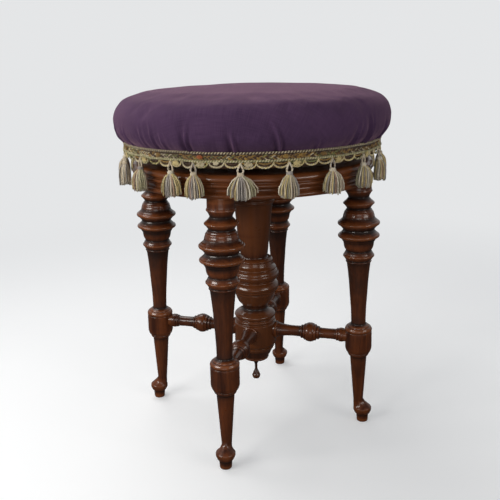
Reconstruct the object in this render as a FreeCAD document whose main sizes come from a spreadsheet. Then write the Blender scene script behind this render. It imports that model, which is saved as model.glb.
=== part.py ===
import FreeCAD, Part
import math
import os
import Sketcher

# A revolving piano stool: a round stuffed seat on an iron screw, over a turned walnut stand.
# Millimetres, +Z up. The origin is on the floor under the screw. The four legs stand on the axes.

SIZES = (
    # whole
    ("seat_radius", 190.0, "seat at its widest"),
    ("overhang", 17.0, "seat's widest place to the seat board's edge"),
    # stand
    ("stand_height", 369.5, "floor to the underside of the top board"),
    ("board_set_in", 2.5, "seat board's edge to the top board's widest bead"),
    ("board_thickness", 28.0, "top board"),
    ("board_bead", 5.6, "height of the bottom bead of the board's edge"),
    ("board_cove", 7.0, "height of the cove above the bottom bead"),
    ("board_band", 5.0, "height of the middle bead"),
    ("board_step", 4.0, "depth of the cove and of the steps beside the beads"),
    ("board_round", 8.0, "how far the rounded top edge comes in"),
    # leg, from the floor up
    ("leg_set_in", 11.2, "top board's edge to the leg's axis, at the floor"),
    ("leg_splay", 1.25, "lean of each leg, in degrees"),
    ("toe_offset", 6.2, "outward offset of the foot's own axis"),
    ("peg_radius", 8.6, "peg under the foot"),
    ("peg_height", 12.0, "peg under the foot"),
    ("toe_radius", 13.2, "foot at its widest"),
    ("toe_height", 21.0, "floor to the foot's widest place"),
    ("ankle_radius", 7.1, "shin just over the foot"),
    ("shin_foot_radius", 5.0, "end of the shin, within the foot"),
    ("ankle_height", 35.5, "floor to the top of the foot"),
    ("shin_radius", 12.3, "shin where it meets the knee"),
    ("knee_height", 136.4, "floor to the middle of the knee and the stretchers"),
    ("knee_radius", 19.2, "turned knee block"),
    ("knee_half_length", 21.2, "middle of the knee to its lower and upper ends"),
    ("knee_round", 8.6, "rounded upper shoulder of the knee"),
    ("knee_lip", 1.2, "small step at the knee's lower end"),
    ("knee_taper", 8.7, "rounded end of the knee, down to the shin"),
    ("shank_radius", 10.5, "leg just over the knee"),
    ("shank_swell", 1.2, "how far the long taper is hollowed"),
    ("cup_radius", 21.4, "cup under the two large rings"),
    ("neck_radius", 16.6, "leg at the small ring, and the waist under the top beads"),
    ("small_ring_radius", 21.5, "sharp rings over and under the large ones"),
    ("large_ring_radius", 28.4, "the two large rings"),
    ("ring_valley_radius", 21.8, "valley between the large rings"),
    ("swelling_radius", 19.9, "body between the large and the small ring"),
    ("top_valley_radius", 14.2, "valley under the capital"),
    ("capital_radius", 17.6, "leg where it meets the top board"),
    ("capital_lip", 0.9, "how far the capital's lower edge stands out"),
    ("capital_drop", 16.0, "top board to the capital's lower edge"),
    ("top_valley_drop", 24.6, "top board to the valley under the capital"),
    ("upper_ring_drop", 33.0, "top board to the upper small ring"),
    ("waist_drop", 41.4, "top board to the waist under that ring"),
    ("first_large_drop", 61.3, "top board to the first large ring"),
    ("second_large_drop", 79.2, "top board to the second large ring"),
    ("lower_ring_drop", 108.9, "top board to the lower small ring"),
    ("ring_half_height", 8.4, "middle of a ring to its valley"),
    ("ring_bulge", 1.4, "how far a ring's faces are rounded"),
    ("edge_half_height", 1.6, "half the rounded edge of a ring"),
    ("leg_tenon_radius", 11.0, "tenon in the top board"),
    ("leg_tenon_length", 17.0, "tenon in the top board"),
    ("leg_housing", 1.0, "depth that the capital is let into the top board"),
    # column, from the top board down
    ("column_spigot_radius", 24.0, "spigot in the top board"),
    ("column_spigot_length", 13.0, "spigot in the top board"),
    ("column_head_radius", 31.0, "column under the top board"),
    ("column_head_drop", 38.0, "top board to the lower edge of the column's head"),
    ("stem_top_radius", 27.9, "stem under the head"),
    ("stem_foot_radius", 19.6, "stem over the bulb"),
    ("stem_drop", 119.6, "top board to the stem's foot"),
    ("stem_hollow", 1.2, "how far the stem is hollowed"),
    ("collar_radius", 26.1, "thin ring over the bulb"),
    ("lobe_radius", 36.3, "the two lobes of the bulb"),
    ("lobe_groove_radius", 30.2, "groove between the lobes"),
    ("lobe_shoulder_radius", 31.0, "bulb where the lobes end"),
    ("bulb_drop", 154.6, "top board to the groove between the lobes"),
    ("lobe_half_height", 9.4, "groove to the middle of each lobe"),
    ("lobe_bulge", 2.6, "roundness of the lobes"),
    ("column_neck_radius", 18.3, "neck between bulb and boss"),
    ("column_neck_rise", 35.5, "middle of the boss to the neck"),
    ("boss_ring_radius", 29.6, "rings on top of the boss"),
    ("boss_ring_rise", 26.0, "middle of the boss to its upper ring"),
    ("boss_ring_half", 3.4, "half the height of a boss ring"),
    ("boss_radius", 31.5, "boss that holds the stretchers"),
    ("boss_rise", 12.0, "middle of the boss to its upper end"),
    ("boss_drop", 21.5, "middle of the boss to where it turns in"),
    ("boss_foot", 2.5, "length of the turned-in end under the boss"),
    ("boss_foot_radius", 29.8, "end of the column, on the drop"),
    # drop under the column
    ("drop_cup_radius", 29.0, "cup of the drop, where it meets the column"),
    ("drop_cup_height", 24.4, "cup of the drop, down to its lower edge"),
    ("drop_cup_foot_radius", 19.2, "lower edge of the cup"),
    ("drop_stem_radius", 2.0, "thin stem over the drop"),
    ("drop_stem_length", 17.0, "cup's edge to the thinnest place"),
    ("drop_ball_radius", 5.8, "drop itself"),
    ("drop_ball_fall", 14.6, "thinnest place to the middle of the drop"),
    ("drop_spigot_radius", 8.0, "spigot in the column"),
    ("drop_spigot_length", 14.0, "spigot in the column"),
    # stretchers
    ("stretcher_tenon_radius", 5.5, "tenons at both ends"),
    ("stretcher_tenon_length", 13.0, "tenons at both ends"),
    ("stretcher_radius", 8.0, "waists either side of the bulb"),
    ("stretcher_flare_radius", 12.2, "flared collar on the boss"),
    ("stretcher_flare_length", 5.0, "flared collar on the boss"),
    ("stretcher_taper_radius", 10.6, "wide end of the taper beside the flare"),
    ("stretcher_taper_length", 13.0, "taper beside the flare"),
    ("stretcher_ring_radius", 10.0, "collar on the knee"),
    ("stretcher_ring_length", 8.4, "collar on the knee"),
    ("stretcher_bulb_radius", 14.2, "bulb at mid length"),
    ("stretcher_bulb_half", 8.5, "half the length of the bulb"),
    ("stretcher_step_radius", 9.9, "small rings beside the bulb"),
    ("stretcher_step_length", 4.4, "small rings beside the bulb"),
    # screw
    ("rise", 41.4, "how far the seat winds up"),
    ("fall", 8.6, "how far the seat winds down"),
    ("rest_gap", 9.0, "top board to seat board, as the stool stands"),
    ("thread_pitch", 6.0, "right-hand thread, one turn"),
    ("thread_core_radius", 10.4, "spindle between the threads"),
    ("thread_depth", 2.1, "core to crest"),
    ("thread_crest", 2.0, "width of the crest"),
    ("thread_root", 3.8, "width of the thread at the core"),
    ("thread_fit", 0.35, "running clearance between spindle and nut, on every face"),
    ("thread_runout", 5.0, "plain spindle at each end of the thread"),
    ("nut_radius", 17.0, "threaded bush"),
    ("nut_length", 48.0, "threaded bush with its flange"),
    ("flange_radius", 31.0, "flange of the bush"),
    ("flange_thickness", 4.0, "flange of the bush"),
    ("plate_radius", 42.0, "iron plate under the seat board"),
    ("plate_thickness", 4.0, "iron plate under the seat board"),
    ("sunk", 0.3, "how far both irons lie below the wood's face"),
    ("washer_radius", 15.2, "stop washer"),
    ("washer_thickness", 3.0, "stop washer"),
    ("washer_play", 0.3, "running clearance of the stop washer"),
    ("tail_radius", 6.0, "spindle under the stop washer"),
    ("tail_end", 2.0, "riveted end of the spindle under the stop nut"),
    ("stop_nut_radius", 11.0, "stop nut, across its corners"),
    ("stop_nut_height", 7.0, "stop nut"),
    ("stop_gap", 0.5, "stop washer to nut when wound right up"),
    ("bore_gap", 4.0, "spindle's end to the bore's floor when wound right down"),
    ("screw_head_radius", 4.2, "wood screws"),
    ("screw_head_height", 2.6, "wood screws"),
    ("screw_radius", 2.0, "wood screws"),
    ("nut_screw_length", 12.0, "wood screws of the nut"),
    ("nut_screw_circle", 25.0, "radius of the nut's screw circle"),
    ("plate_screw_length", 15.0, "wood screws of the plate"),
    ("plate_screw_circle", 33.0, "radius of the plate's screw circle"),
    # seat
    ("seat_board_thickness", 22.3, "round board under the stuffing"),
    ("seat_board_round", 2.5, "rounded lower edge of that board"),
    ("cloth", 1.5, "thickness of the cover with its lining"),
    ("cloth_gap", 0.3, "cover to board and stuffing"),
    ("seat_depth", 70.2, "seat board to the crown"),
    ("widest_rise", 27.0, "seat board to the widest place"),
    ("shoulder_in", 26.0, "widest place to where the crown turns into the side"),
    ("shoulder_fall", 11.6, "crown to that place"),
    ("shoulder_bulge", 8.2, "roundness of the shoulder"),
    ("tuck_bulge", 2.2, "roundness under the widest place"),
    ("tuck_out", 4.4, "seat board's edge to where the cover meets the braid"),
    ("cover_hem", 4.0, "seat board's underside to the cover's hem"),
    # trim
    ("tack_count", 36, "tacks round the board"),
    ("tack_head_radius", 3.2, "cover tacks"),
    ("tack_head_height", 0.8, "cover tacks"),
    ("tack_radius", 0.9, "cover tacks"),
    ("tack_length", 9.0, "cover tacks, in the board"),
    ("tack_rise", 11.0, "seat board's underside to the tacks"),
    ("braid_gap", 0.2, "tack heads to braid"),
    ("braid_thickness", 2.2, "woven braid"),
    ("braid_rise", 7.0, "seat board's underside to the straight edge of the braid"),
    ("cord_radius", 1.4, "cord along the top of the braid"),
    ("scallop_thickness", 1.4, "scallops, midway in the thickness of the braid"),
    ("scallop_radius", 8.6, "scallops under the braid"),
    ("scallop_drop", 5.2, "how far they hang below the straight edge"),
    ("scallops_between", 3, "scallops from one tassel to the next"),
    ("scallops_at_join", 2, "scallops where the trim's ends meet"),
    ("tassel_count", 20, "tassels"),
    ("tassel_spacing", 18.4, "degrees from one tassel to the next"),
    ("tassel_start", -97.7, "first tassel, in degrees from the right leg"),
    ("loop_radius", 4.2, "cord loop that a tassel hangs from"),
    ("loop_cord_radius", 1.2, "that cord"),
    ("loop_stitch", 0.4, "how far the loop is sewn into the braid"),
    ("tassel_head_radius", 4.3, "bound head of a tassel"),
    ("tassel_head_drop", 7.6, "loop's middle to the head's middle"),
    ("tassel_neck_radius", 2.9, "binding under the head"),
    ("tassel_neck_drop", 3.2, "head's middle to the binding"),
    ("tassel_length", 27.0, "binding to hem"),
    ("tassel_half_width", 13.4, "hem of a tassel, along the trim"),
    ("tassel_half_depth", 6.6, "hem of a tassel, across the trim"),
    ("tassel_lean", 2.4, "how far the skirt stands out from the loop"),
    # fits
    ("glue_gap", 0.1, "round tenons in their holes"),
    ("floor_trim", 3.0, "leg cut off at the floor"),
)

QUARTERS = {"right": 0, "back": 90, "left": 180, "front": 270}


class Size:
    """A number that knows the sheet expression it comes from, so both are worked out together."""

    def __init__(self, value, text):
        self.value = float(value)
        self.text = text

    def join(self, other, sign, value):
        return Size(value, f"({self.text} {sign} {as_size(other).text})")

    def __add__(self, other):
        return self.join(other, "+", self.value + as_size(other).value)

    def __sub__(self, other):
        return self.join(other, "-", self.value - as_size(other).value)

    def __mul__(self, other):
        return self.join(other, "*", self.value * as_size(other).value)

    def __truediv__(self, other):
        return self.join(other, "/", self.value / as_size(other).value)

    def root(self):
        return Size(math.sqrt(self.value), f"sqrt({self.text})")


def as_size(thing):
    """A Size as it is, or a plain number as a Size."""
    if isinstance(thing, Size):
        return thing
    return Size(thing, repr(float(thing)))


class Sheet:
    """The driving sizes, each as a cell with an alias and as an attribute of this object."""

    def __init__(self, doc, rows):
        cells = doc.addObject("Spreadsheet::Sheet", "Sizes")
        for row, (alias, value, meaning) in enumerate(rows, start=1):
            cells.set(f"A{row}", alias)
            cells.set(f"B{row}", str(value))
            cells.set(f"C{row}", meaning)
            cells.setAlias(f"B{row}", alias)
            setattr(self, alias, Size(value, f"Sizes.{alias}"))


doc = FreeCAD.newDocument("piano_stool")
s = Sheet(doc, SIZES)
doc.recompute()
nodes = []


def node(thing, label):
    """Marks an object as one of the stool's pieces."""
    thing.Label = label
    nodes.append(thing)
    return thing


def bind(thing, **sizes):
    """Sets properties of an object from sizes. Underscores in a name stand for dots."""
    for name, size in sizes.items():
        thing.setExpression(name.replace("_", "."), as_size(size).text)
    return thing


def place(thing, x=0, y=0, z=0, axis=(0, 0, 1), turn=0):
    """Puts an object at a place given in sizes, turned about one axis by an angle in degrees."""
    angle = as_size(turn)
    thing.Placement = FreeCAD.Placement(
        FreeCAD.Vector(as_size(x).value, as_size(y).value, as_size(z).value),
        FreeCAD.Rotation(FreeCAD.Vector(*axis), angle.value),
    )
    for name, size in (("x", x), ("y", y), ("z", z)):
        if isinstance(size, Size):
            thing.setExpression(f"Placement.Base.{name}", size.text)
    if isinstance(turn, Size):
        thing.setExpression("Placement.Rotation.Angle", angle.text)
    return thing


def origin_plane(body, role):
    return [part for part in body.Origin.OriginFeatures if part.Role == role][0]


def arc_radius(start, end, bulge):
    """The radius of an arc between two points that stands out from their chord by the bulge."""
    across = (end[0] - start[0]) * (end[0] - start[0])
    along = (end[1] - start[1]) * (end[1] - start[1])
    return ((across + along) / 4 + bulge * bulge) / (bulge * 2)


def dome_bulge(rim, rise):
    """The bulge of the arc from a rim up to the axis, so that it ends level there."""
    chord = (rim * rim + rise * rise).root()
    return chord * (chord - rim) / (rise * 2)


def arc_middle(start, end, bulge):
    """A point half way along that arc, on the right of the way from start to end."""
    across = end[0].value - start[0].value
    along = end[1].value - start[1].value
    chord = math.hypot(across, along)
    middle = ((start[0].value + end[0].value) / 2, (start[1].value + end[1].value) / 2)
    return FreeCAD.Vector(
        middle[0] + along / chord * bulge, middle[1] - across / chord * bulge, 0
    )


def outline_sketch(body, name, outline):
    """A closed outline of (radius, height) corners in the upright plane of a body.

    A third item is a bulge: the edge that ends at that corner is an arc, which stands out to
    the right of its way where the bulge is positive and to the left where hollow is given.
    """
    sketch = body.newObject("Sketcher::SketchObject", name)
    sketch.AttachmentSupport = [(origin_plane(body, "XZ_Plane"), "")]
    sketch.MapMode = "FlatFace"
    corners = [tuple(as_size(part) for part in corner) for corner in outline]
    edges = []
    for number, corner in enumerate(corners):
        start = corners[number - 1]
        first = FreeCAD.Vector(start[0].value, start[1].value, 0)
        last = FreeCAD.Vector(corner[0].value, corner[1].value, 0)
        if len(corner) == 3 and corner[2].value != 0:
            middle = arc_middle(start, corner, corner[2].value)
            edges.append(Part.Arc(first, middle, last))
        else:
            edges.append(Part.LineSegment(first, last))
    for edge in edges:
        sketch.addGeometry(edge, False)
    rules = []
    bound = []
    ends = []
    for number, corner in enumerate(corners):
        here = FreeCAD.Vector(corner[0].value, corner[1].value, 0)
        far = sketch.getPoint(number, 2).distanceToPoint(here)
        near = sketch.getPoint(number, 1).distanceToPoint(here)
        ends.append(2 if far < near else 1)
    for number, corner in enumerate(corners):
        following = (number + 1) % len(corners)
        rules.append(
            Sketcher.Constraint(
                "Coincident", number, ends[number], following, 3 - ends[following]
            )
        )
        for kind, size, axis in (("DistanceX", corner[0], -2), ("DistanceY", corner[1], -1)):
            if size.value == 0:
                rules.append(Sketcher.Constraint("PointOnObject", number, ends[number], axis))
                continue
            bound.append((len(rules), size.text))
            rules.append(
                Sketcher.Constraint(kind, -1, 1, number, ends[number], size.value)
            )
        if len(corner) == 3 and corner[2].value != 0:
            bulge = corner[2]
            if bulge.value < 0:
                bulge = as_size(0) - bulge
            radius = arc_radius(corners[number - 1], corner, bulge)
            bound.append((len(rules), radius.text))
            rules.append(Sketcher.Constraint("Radius", number, radius.value))
    sketch.addConstraint(rules)
    for rule, text in bound:
        sketch.setExpression(f"Constraints[{rule}]", text)
    return sketch


def turned(name, outline):
    """A body turned about its own upright axis from a closed outline."""
    body = doc.addObject("PartDesign::Body", name)
    sketch = outline_sketch(body, name + "_outline", outline)
    turning = body.newObject("PartDesign::Revolution", name + "_turning")
    turning.Profile = sketch
    turning.ReferenceAxis = (sketch, ["V_Axis"])
    turning.Angle = 360
    sketch.Visibility = False
    return body


def rod(name, radius, length, **where):
    """A plain cylinder, for holes and small hardware."""
    made = doc.addObject("Part::Cylinder", name)
    bind(made, Radius=radius, Height=length)
    return place(made, **where)


def fuse(name, pieces):
    made = doc.addObject("Part::MultiFuse", name)
    made.Shapes = pieces
    return made


def cut(name, base, tool):
    made = doc.addObject("Part::Cut", name)
    made.Base = base
    made.Tool = tool
    return made


def ring_edge(middle, radius, valley_above, valley_below):
    """Corners of one turned ring, from its lower valley up: a face, a rounded edge and a face."""
    half = s.ring_half_height
    edge = radius - s.ring_bulge
    return [
        (valley_below, middle - half),
        (edge, middle - s.edge_half_height, s.ring_bulge * 0.6),
        (edge, middle + s.edge_half_height, s.ring_bulge),
        (valley_above, middle + half, s.ring_bulge * 0.6),
    ]


def seat_board_radius():
    return s.seat_radius - s.overhang


def board_radius():
    return seat_board_radius() - s.board_set_in


def leg_foot_radius():
    return board_radius() - s.leg_set_in


def leg_turning():
    """One leg at the right, leaning in: main turning, then the foot about its own offset axis."""
    knee_low = s.knee_height - s.knee_half_length
    knee_top = s.knee_height + s.knee_half_length
    top = s.stand_height + s.leg_housing
    lower_ring = s.stand_height - s.lower_ring_drop
    second = s.stand_height - s.second_large_drop
    first = s.stand_height - s.first_large_drop
    upper_ring = s.stand_height - s.upper_ring_drop
    waist = s.stand_height - s.waist_drop
    top_valley = s.stand_height - s.top_valley_drop
    capital = s.stand_height - s.capital_drop
    outline = [
        (0, s.toe_height - s.edge_half_height),
        (s.shin_foot_radius, s.toe_height - s.edge_half_height),
        (s.ankle_radius, s.ankle_height),
        (s.shin_radius, knee_low - s.knee_taper),
        (s.knee_radius - s.knee_lip, knee_low, s.knee_taper * 0.1),
        (s.knee_radius, knee_low + s.knee_lip, s.knee_lip * 0.2),
        (s.knee_radius, knee_top - s.knee_round),
        (s.shank_radius, knee_top, s.knee_round * 0.3),
        (s.neck_radius, lower_ring - s.ring_half_height, s.shank_swell * -1),
        *ring_edge(lower_ring, s.small_ring_radius, s.neck_radius, s.neck_radius)[1:],
        (s.cup_radius, second - s.ring_half_height, s.ring_bulge),
        *ring_edge(second, s.large_ring_radius, s.ring_valley_radius, s.cup_radius)[1:],
        *ring_edge(first, s.large_ring_radius, s.swelling_radius, s.ring_valley_radius)[1:3],
        (s.swelling_radius + s.ring_bulge, first + s.edge_half_height * 3, s.ring_bulge * 0.5),
        (s.swelling_radius, waist - s.edge_half_height * 5, s.ring_bulge * 0.5),
        (s.neck_radius, waist, s.ring_bulge),
        *ring_edge(upper_ring, s.small_ring_radius, s.top_valley_radius, s.neck_radius)[1:3],
        (s.top_valley_radius, top_valley, s.ring_bulge * -0.6),
        (s.capital_radius + s.capital_lip, capital - s.capital_lip, s.ring_bulge * -0.6),
        (s.capital_radius, capital + s.capital_lip * 2, s.capital_lip * 0.6),
        (s.capital_radius, top),
        (s.leg_tenon_radius, top),
        (s.leg_tenon_radius, s.stand_height + s.leg_tenon_length),
        (0, s.stand_height + s.leg_tenon_length),
    ]
    body = turned("leg_turned", outline)
    foot = outline_sketch(
        body,
        "foot_outline",
        [
            (s.toe_offset, as_size(0) - s.floor_trim),
            (s.toe_offset + s.peg_radius, as_size(0) - s.floor_trim),
            (s.toe_offset + s.peg_radius, s.peg_height),
            (s.toe_offset + s.toe_radius, s.toe_height - s.edge_half_height, s.ring_bulge),
            (s.toe_offset + s.toe_radius, s.toe_height + s.edge_half_height, s.ring_bulge * 0.4),
            (s.toe_offset, s.ankle_height),
        ],
    )
    axis = len(foot.Geometry)
    foot.addGeometry(
        Part.LineSegment(
            FreeCAD.Vector(s.toe_offset.value, 0, 0),
            FreeCAD.Vector(s.toe_offset.value, s.ankle_height.value, 0),
        ),
        True,
    )
    foot.addConstraint(
        [
            Sketcher.Constraint("Vertical", axis),
            Sketcher.Constraint("PointOnObject", axis, 1, -1),
            Sketcher.Constraint("DistanceX", -1, 1, axis, 1, s.toe_offset.value),
            Sketcher.Constraint("DistanceY", -1, 1, axis, 2, s.ankle_height.value),
        ]
    )
    count = len(foot.Constraints)
    foot.setExpression(f"Constraints[{count - 2}]", s.toe_offset.text)
    foot.setExpression(f"Constraints[{count - 1}]", s.ankle_height.text)
    turning = body.newObject("PartDesign::Revolution", "foot_turning")
    turning.Profile = foot
    turning.ReferenceAxis = (foot, ["Axis0"])
    turning.Angle = 360
    return place(body, x=leg_foot_radius(), axis=(0, -1, 0), turn=s.leg_splay)


def legs():
    """The four legs: cut off level at the floor and bored for the stretchers' tenons."""
    turning = leg_turning()
    floor = doc.addObject("Part::Box", "below_floor")
    side = s.toe_radius * 6
    bind(floor, Length=side, Width=side, Height=s.floor_trim * 2)
    place(
        floor,
        x=leg_foot_radius() - side / 2,
        y=as_size(0) - side / 2,
        z=as_size(0) - s.floor_trim * 2,
    )
    mortise = rod(
        "knee_mortise",
        s.stretcher_tenon_radius + s.glue_gap,
        s.knee_radius * 2,
        x=leg_axis_at(s.knee_height) - s.knee_radius * 2 + mortise_past_axis(),
        z=s.knee_height,
        axis=(0, 1, 0),
        turn=90,
    )
    tools = fuse("leg_cuts", [floor, mortise])
    made = {}
    for side_name, angle in QUARTERS.items():
        made[side_name] = place(cut(f"leg_{side_name}", turning, tools), turn=angle)
        node(made[side_name], f"leg_{side_name}")
    return made


def leg_axis_at(height):
    """Stool axis to leg axis at a height, with the lean."""
    lean = Size(math.tan(math.radians(s.leg_splay.value)), "tan(Sizes.leg_splay * 1deg)")
    return leg_foot_radius() - height * lean


def mortise_past_axis():
    """Where the knee's mortise ends, measured outward from the leg's axis."""
    return s.stretcher_tenon_length + s.glue_gap * 5 - s.knee_radius


def leg_sockets():
    """Leaning housings and mortises in the top board, one pair for each leg."""
    housing = rod(
        "housing", s.capital_radius + s.glue_gap / 2, s.stand_height + s.leg_housing
    )
    mortise = rod(
        "mortise",
        s.leg_tenon_radius + s.glue_gap,
        s.stand_height + s.leg_tenon_length + s.glue_gap * 5,
    )
    for tool in (housing, mortise):
        place(tool, x=leg_foot_radius(), axis=(0, -1, 0), turn=s.leg_splay)
    return [
        place(fuse(f"socket_{name}", [housing, mortise]), turn=angle)
        for name, angle in QUARTERS.items()
    ]


def board_turning():
    """The top board with its moulded edge, standing on its own underside."""
    edge = board_radius()
    shallow = s.board_step * 0.5
    band = s.board_bead + s.board_cove
    outline = [
        (0, 0),
        (edge - shallow, 0),
        (edge - shallow, s.board_bead, s.board_bead * 0.35),
        (edge - s.board_step, s.board_bead),
        (edge - s.board_step * 1.6, band, s.board_step * -0.35),
        (edge - shallow * 1.6, band),
        (edge - shallow * 1.6, band + s.board_band, s.board_band * 0.3),
        (edge - s.board_step, band + s.board_band),
        (edge - s.board_step, band + s.board_band * 1.5),
        (edge - s.board_round, s.board_thickness, s.board_round * 0.24),
        (0, s.board_thickness),
    ]
    return place(turned("board_turned", outline), z=s.stand_height)


def top_board(screws):
    """The top board, bored for the legs, the column and the nut."""
    iron_recess = s.flange_thickness + s.sunk
    top = s.stand_height + s.board_thickness
    tools = [
        *leg_sockets(),
        rod(
            "column_socket",
            s.column_spigot_radius + s.glue_gap,
            s.column_spigot_length + s.glue_gap * 5,
            z=s.stand_height,
        ),
        rod("nut_hole", s.nut_radius + s.glue_gap, s.board_thickness, z=s.stand_height),
        rod("flange_recess", s.flange_radius + s.glue_gap, iron_recess, z=top - iron_recess),
        *screws,
    ]
    return node(cut("top_board", board_turning(), fuse("board_cuts", tools)), "top_board")


def column_turning():
    """The centre column, turned from the spigot down to the end that takes the drop."""
    boss = s.knee_height
    under = s.stand_height
    groove = under - s.bulb_drop
    upper_lobe = groove + s.lobe_half_height
    lower_lobe = groove - s.lobe_half_height
    ring = boss + s.boss_ring_rise
    boss_top = boss + s.boss_rise
    boss_low = boss - s.boss_drop
    stem_foot = under - s.stem_drop
    lobe_end = s.lobe_half_height * 1.4
    outline = [
        (0, boss_low - s.boss_foot),
        (s.boss_foot_radius, boss_low - s.boss_foot),
        (s.boss_radius, boss_low, s.boss_foot * 0.16),
        (s.boss_radius, boss_top),
        (s.boss_ring_radius - s.ring_bulge, ring - s.boss_ring_half * 3),
        (s.boss_ring_radius - s.ring_bulge, ring - s.boss_ring_half, s.ring_bulge),
        (s.boss_ring_radius - s.ring_bulge * 2, ring - s.boss_ring_half),
        (s.boss_ring_radius - s.ring_bulge * 2, ring + s.boss_ring_half, s.ring_bulge * 2),
        (s.column_neck_radius, boss + s.column_neck_rise, s.boss_ring_half * -0.4),
        (s.lobe_shoulder_radius, lower_lobe - lobe_end, s.lobe_bulge * -1),
        (s.lobe_radius, lower_lobe, s.lobe_bulge * 0.3),
        (s.lobe_groove_radius, groove, s.lobe_bulge * 0.5),
        (s.lobe_radius, upper_lobe, s.lobe_bulge * 0.5),
        (s.lobe_shoulder_radius, upper_lobe + lobe_end, s.lobe_bulge * 0.3),
        (s.collar_radius, stem_foot - s.boss_ring_half, s.lobe_bulge * -0.4),
        (s.collar_radius, stem_foot, s.ring_bulge),
        (s.stem_foot_radius, stem_foot),
        (s.stem_top_radius, under - s.column_head_drop, s.stem_hollow * -1),
        (s.column_head_radius, under - s.column_head_drop + s.boss_ring_half, s.ring_bulge * -1),
        (s.column_head_radius, under),
        (s.column_spigot_radius, under),
        (s.column_spigot_radius, under + s.column_spigot_length),
        (0, under + s.column_spigot_length),
    ]
    return turned("column_turned", outline)


def nut_bottom():
    return s.stand_height + s.board_thickness - s.sunk - s.nut_length


def spindle_shoulder():
    """The spindle's lower shoulder, over the stop washer, as the stool stands."""
    return nut_bottom() - s.rise - s.stop_gap


def tail_length():
    """Spindle under the shoulder: washer with its play, stop nut and riveted end."""
    return s.washer_thickness + s.washer_play * 2 + s.stop_nut_height + s.tail_end


def centre_column():
    """The column, bored for the spindle, the four stretchers and the drop."""
    bore_floor = spindle_shoulder() - tail_length() - s.fall - s.bore_gap
    spigot_top = s.stand_height + s.column_spigot_length
    tenon_room = s.stretcher_tenon_length + s.glue_gap * 5
    drop_room = s.drop_spigot_length + s.glue_gap * 5
    tools = [
        rod("spindle_bore", s.nut_radius + s.glue_gap, spigot_top - bore_floor, z=bore_floor),
        rod(
            "drop_hole",
            s.drop_spigot_radius + s.glue_gap,
            drop_room,
            z=column_end(),
        ),
    ]
    for name, angle in QUARTERS.items():
        across = Size(math.cos(math.radians(angle)), str(round(math.cos(math.radians(angle)))))
        along = Size(math.sin(math.radians(angle)), str(round(math.sin(math.radians(angle)))))
        reach = s.boss_radius - tenon_room
        tools.append(
            rod(
                f"boss_mortise_{name}",
                s.stretcher_tenon_radius + s.glue_gap,
                tenon_room * 2,
                x=reach * across,
                y=reach * along,
                z=s.knee_height,
                axis=(-round(along.value), round(across.value), 0),
                turn=90,
            )
        )
    return node(
        cut("centre_column", column_turning(), fuse("column_cuts", tools)), "centre_column"
    )


def column_end():
    return s.knee_height - s.boss_drop - s.boss_foot


def drop_finial():
    """The turned cup and drop that closes the column."""
    cup_low = as_size(0) - s.drop_cup_height
    thin = cup_low - s.drop_stem_length
    ball = thin - s.drop_ball_fall
    outline = [
        (0, ball - s.drop_ball_radius * 0.9),
        (s.drop_ball_radius * 0.8, ball - s.drop_ball_radius * 0.6, s.drop_ball_radius * 0.2),
        (s.drop_ball_radius * 0.8, ball + s.drop_ball_radius * 0.6, s.drop_ball_radius * 0.2),
        (s.drop_stem_radius, thin, s.drop_ball_radius * -0.15),
        (s.drop_stem_radius * 2, cup_low - s.drop_stem_length * 0.4, s.drop_stem_radius * -0.3),
        (s.drop_cup_foot_radius, cup_low, s.drop_stem_length * -0.14),
        (s.drop_cup_radius, s.drop_cup_height * -0.1, s.drop_cup_height * -0.03),
        (s.drop_cup_radius, 0),
        (s.drop_spigot_radius, 0),
        (s.drop_spigot_radius, s.drop_spigot_length),
        (0, s.drop_spigot_length),
    ]
    return node(place(turned("drop_turned", outline), z=column_end()), "drop_finial")


def stretchers(leg, column):
    """Four stretchers, each coped to the round knee and the round boss that it meets."""
    inner = s.boss_radius
    outer = leg_axis_at(s.knee_height) - s.knee_radius
    middle = (inner + outer) / 2
    cope = s.stretcher_flare_length
    bulb = s.stretcher_bulb_half
    step = bulb + s.stretcher_step_length
    outline = [
        (0, inner - s.stretcher_tenon_length),
        (s.stretcher_tenon_radius, inner - s.stretcher_tenon_length),
        (s.stretcher_tenon_radius, inner - cope),
        (s.stretcher_flare_radius, inner - cope),
        (s.stretcher_flare_radius, inner + s.stretcher_flare_length * 0.5),
        (s.stretcher_taper_radius, inner + s.stretcher_flare_length, s.ring_bulge * -0.2),
        (
            s.stretcher_radius,
            inner + s.stretcher_flare_length + s.stretcher_taper_length,
            s.ring_bulge * -0.3,
        ),
        (s.stretcher_radius, middle - step, s.ring_bulge * -0.5),
        (s.stretcher_step_radius, middle - step, 0),
        (s.stretcher_step_radius, middle - bulb, s.ring_bulge),
        (s.stretcher_bulb_radius, middle - bulb * 0.35, s.ring_bulge),
        (s.stretcher_bulb_radius, middle + bulb * 0.35, s.ring_bulge * 0.4),
        (s.stretcher_step_radius, middle + bulb, s.ring_bulge),
        (s.stretcher_step_radius, middle + step, s.ring_bulge),
        (s.stretcher_radius, middle + step),
        (s.stretcher_radius, outer - s.stretcher_ring_length * 1.3, s.ring_bulge * -0.5),
        (s.stretcher_ring_radius, outer - s.stretcher_ring_length, s.ring_bulge * -0.3),
        (s.stretcher_ring_radius, outer + cope),
        (s.stretcher_tenon_radius, outer + cope),
        (s.stretcher_tenon_radius, outer + s.stretcher_tenon_length),
        (0, outer + s.stretcher_tenon_length),
    ]
    turning = place(
        turned("stretcher_turned", outline), z=s.knee_height, axis=(0, 1, 0), turn=90
    )
    neighbours = fuse("knee_and_boss", [leg, column])
    for name, angle in QUARTERS.items():
        made = cut(f"stretcher_{name}", turning, neighbours)
        node(place(made, turn=angle), f"stretcher_{name}")


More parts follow.
